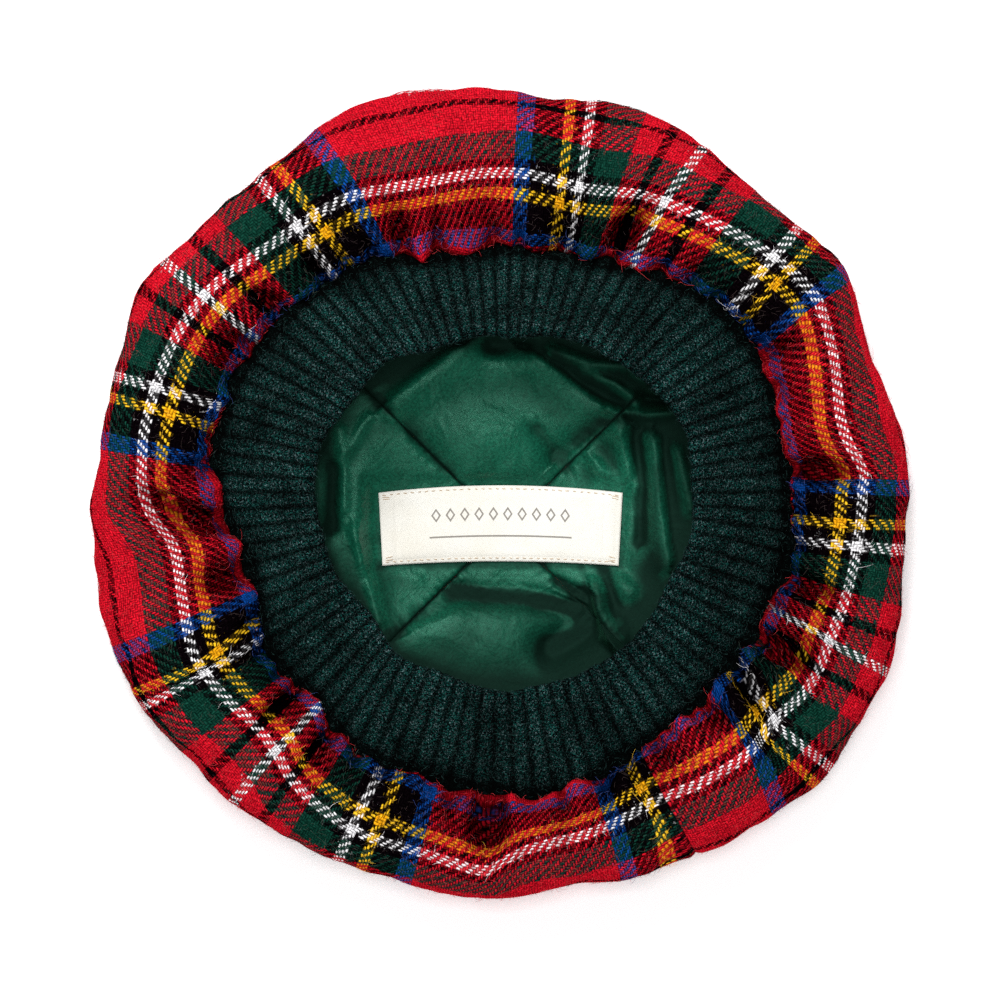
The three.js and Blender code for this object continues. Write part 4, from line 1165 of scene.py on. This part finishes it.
def label_place(along, across):
    """A place on the label, from -1 to 1 along it and from 0 at its top edge to 1 at its bottom."""
    x = LABEL_X + along * mix(HALF_AT_TOP, HALF_AT_FOOT, across)
    y = mix(LABEL_TOP, LABEL_FOOT, across) - LABEL_BOW * along * along * mix(1.3, 0.75, across)
    return x, y


def label_faces(along, across):
    """The label's upper and lower faces: a little cushioned between its stitches."""
    x, y = label_place(along, across)
    base = lining_height(x, y)
    from_end = (1 - np.abs(along)) * 42
    edge = np.minimum(np.minimum(across, 1 - across) * 26, from_end)
    crown = 0.5 * smooth(edge, 0, 4) + 0.25 * waves(along * 90, across * 20, 2, 7, 8, 61) * smooth(edge, 2, 6)
    dip = 0.25 * bell(edge - 1.2, 0.5) + 0.3 * bell(from_end - 5.5, 0.35)
    top = np.stack([x, y, base + 0.4 + LABEL_WALL * smooth(edge, -0.6, 0.5) + crown - dip], -1)
    return top, np.stack([x, y, base + 0.4], -1)


def build_label(material):
    """The woven label, a sheet with a shallow dip across it near each end, where its ends turn under."""
    along = np.linspace(-1, 1, LABEL_ALONG + 1)[:, None]
    across = np.linspace(0, 1, LABEL_ACROSS + 1)[None, :]
    top, low = label_faces(along, across)
    points, quads = sheet_shell(top, low)
    flat = np.stack([points[:, 0] / 0.42, points[:, 1] / 0.42], -1)[quads.ravel()]
    spot_x, spot_y = np.broadcast_arrays(along * LABEL_LENGTH / 2, (0.5 - across) * LABEL_WIDTH)
    spot = np.stack([spot_x.ravel(), spot_y.ravel()], -1)
    spot = np.concatenate([spot, spot])[quads.ravel()]
    return new_piece("woven_label", points, quads, {"ribbon": flat, "spot": spot}, material)


def build_stitches(material):
    """The stitches along the label's long edges, and a few across its ends."""
    draw = np.random.default_rng(81)
    ends = []
    for row, count in ((0.045, 34), (0.955, 34)):
        for place in np.linspace(-0.955, 0.955, count):
            shift = draw.uniform(-0.006, 0.006, 2)
            ends.append((place - 0.016 + shift[0], row + shift[1], place + 0.014, row - shift[1]))
    for side in (-1, 1):
        for row in (0.07, 0.1, 0.9, 0.93):
            ends.append((side * 0.97, row, side * 0.91, row + draw.uniform(-0.02, 0.02)))
    ends = np.array(ends)
    start, _ = label_faces(ends[:, :1], ends[:, 1:2])
    stop, _ = label_faces(ends[:, 2:3], ends[:, 3:4])
    start, stop = start[:, 0], stop[:, 0]
    share = np.array([0.0, 0.15, 0.5, 0.85, 1.0])
    thick = STITCH_RADIUS * np.array([0.35, 0.85, 1.0, 0.85, 0.35])
    rise = STITCH_RADIUS * np.array([0.2, 0.9, 1.3, 0.9, 0.2])
    spine = start[:, None] + (stop - start)[:, None] * share[None, :, None]
    spine[..., 2] += rise
    along = (stop - start) / np.linalg.norm(stop - start, axis=1, keepdims=True)
    aside = np.cross(along, [0, 0, 1.0])
    up = np.cross(aside, along)
    turn = 2 * np.pi * np.arange(6) / 6
    ray = aside[:, None, None] * np.cos(turn)[:, None] + up[:, None, None] * np.sin(turn)[:, None]
    points = (spine[:, :, None] + ray * thick[None, :, None, None]).reshape(-1, 3)
    return new_piece("label_stitches", points, tube_triangles(len(ends), 5, 6), {}, material)


tartan, plain_tartan = tartan_finish(True), tartan_finish(False)
knit, satin = knit_finish(), satin_finish()
ribbon, thread = label_finish(), thread_finish()
strip, strip_nap = build_strip(tartan, nap_finish())
disc = build_disc(plain_tartan)
band, band_nap = build_band(knit, band_nap_finish())
for nap, slot in ((strip_nap, "tartan_cloth"), (band_nap, "ribbed_knit")):
    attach(nap, "root")

for piece, node, slot in (
        (strip, "crown_side", "tartan_cloth"), (disc, "crown_top", "tartan_cloth"),
        (band, "knit_band", "ribbed_knit")):
    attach(piece, "root")
    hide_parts(node)

for number, start in enumerate(GORE_SEAMS):
    end = GORE_SEAMS[number + 1] if number < 3 else GORE_SEAMS[0] + 360
    gore = build_gore(f"lining_gore_{number + 1}", start, end, satin)
    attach(gore, "root")
    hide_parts(f"lining_panel_{number + 1}")

label = build_label(ribbon)
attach(label, "root")
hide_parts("label")
stitches = build_stitches(thread)
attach(stitches, "root")


def build_stage():
    """A pale floor, and soft light from all round with a broad key from the top of the picture."""
    mesh = bpy.data.meshes.new("floor")
    reach = 3.0
    mesh.from_pydata([(-reach, -reach, -0.0002), (reach, -reach, -0.0002), (reach, reach, -0.0002),
                      (-reach, reach, -0.0002)], [], [(0, 1, 2, 3)])
    floor = bpy.data.objects.new("floor", mesh)
    bpy.context.scene.collection.objects.link(floor)
    f = Finish("pale_floor")
    tone = f.ramp(f.noise(f.place(), 3.0, 2.0), [(0.0, (0.97, 0.97, 0.97)), (1.0, (0.99, 0.99, 0.99))])
    f.set(Base_Color=tone, Roughness=0.9, Emission_Color=(1.0, 1.0, 1.0), Emission_Strength=0.22)
    mesh.materials.append(f.material)
    world = bpy.data.worlds.new("studio")
    bpy.context.scene.world = world
    world.use_nodes = True
    world.node_tree.nodes["Background"].inputs[0].default_value = (1, 1, 1, 1)
    world.node_tree.nodes["Background"].inputs[1].default_value = 0.3
    for name, place, size, power in (
            ("key", (-0.25, 0.9, 1.25), 0.5, 18.0), ("top", (0.0, 0.1, 1.75), 0.5, 13.0),
            ("low", (-0.3, -0.9, 1.1), 0.8, 4.0)):
        light = bpy.data.lights.new(name, "AREA")
        light.size = size
        light.energy = power
        lamp = bpy.data.objects.new(name, light)
        lamp.location = place
        lamp.rotation_euler = look_down(place)
        bpy.context.scene.collection.objects.link(lamp)


def look_down(place, target=(0, 0, 0.02)):
    """Turn of a lamp or camera at place that faces the target."""
    return (Vector(target) - Vector(place)).to_track_quat("-Z", "Y").to_euler()


def build_camera():
    """Straight above, with the photograph's frame: 343.6 mm wide at the rim's height."""
    eye_height, frame_width, sensor = 1.7, 0.3436, 36.0
    data = bpy.data.cameras.new("camera")
    data.sensor_width = sensor
    data.lens = sensor * (eye_height - RIM_HEIGHT * MM) / frame_width
    camera = bpy.data.objects.new("camera", data)
    camera.location = ((SHIFT[0] - 0.515) * MM, (SHIFT[1] - 2.405) * MM, eye_height)
    bpy.context.scene.collection.objects.link(camera)
    bpy.context.scene.camera = camera


build_stage()
build_camera()
bpy.context.scene.view_settings.view_transform = "Standard"
bpy.context.scene.cycles.use_denoising = False
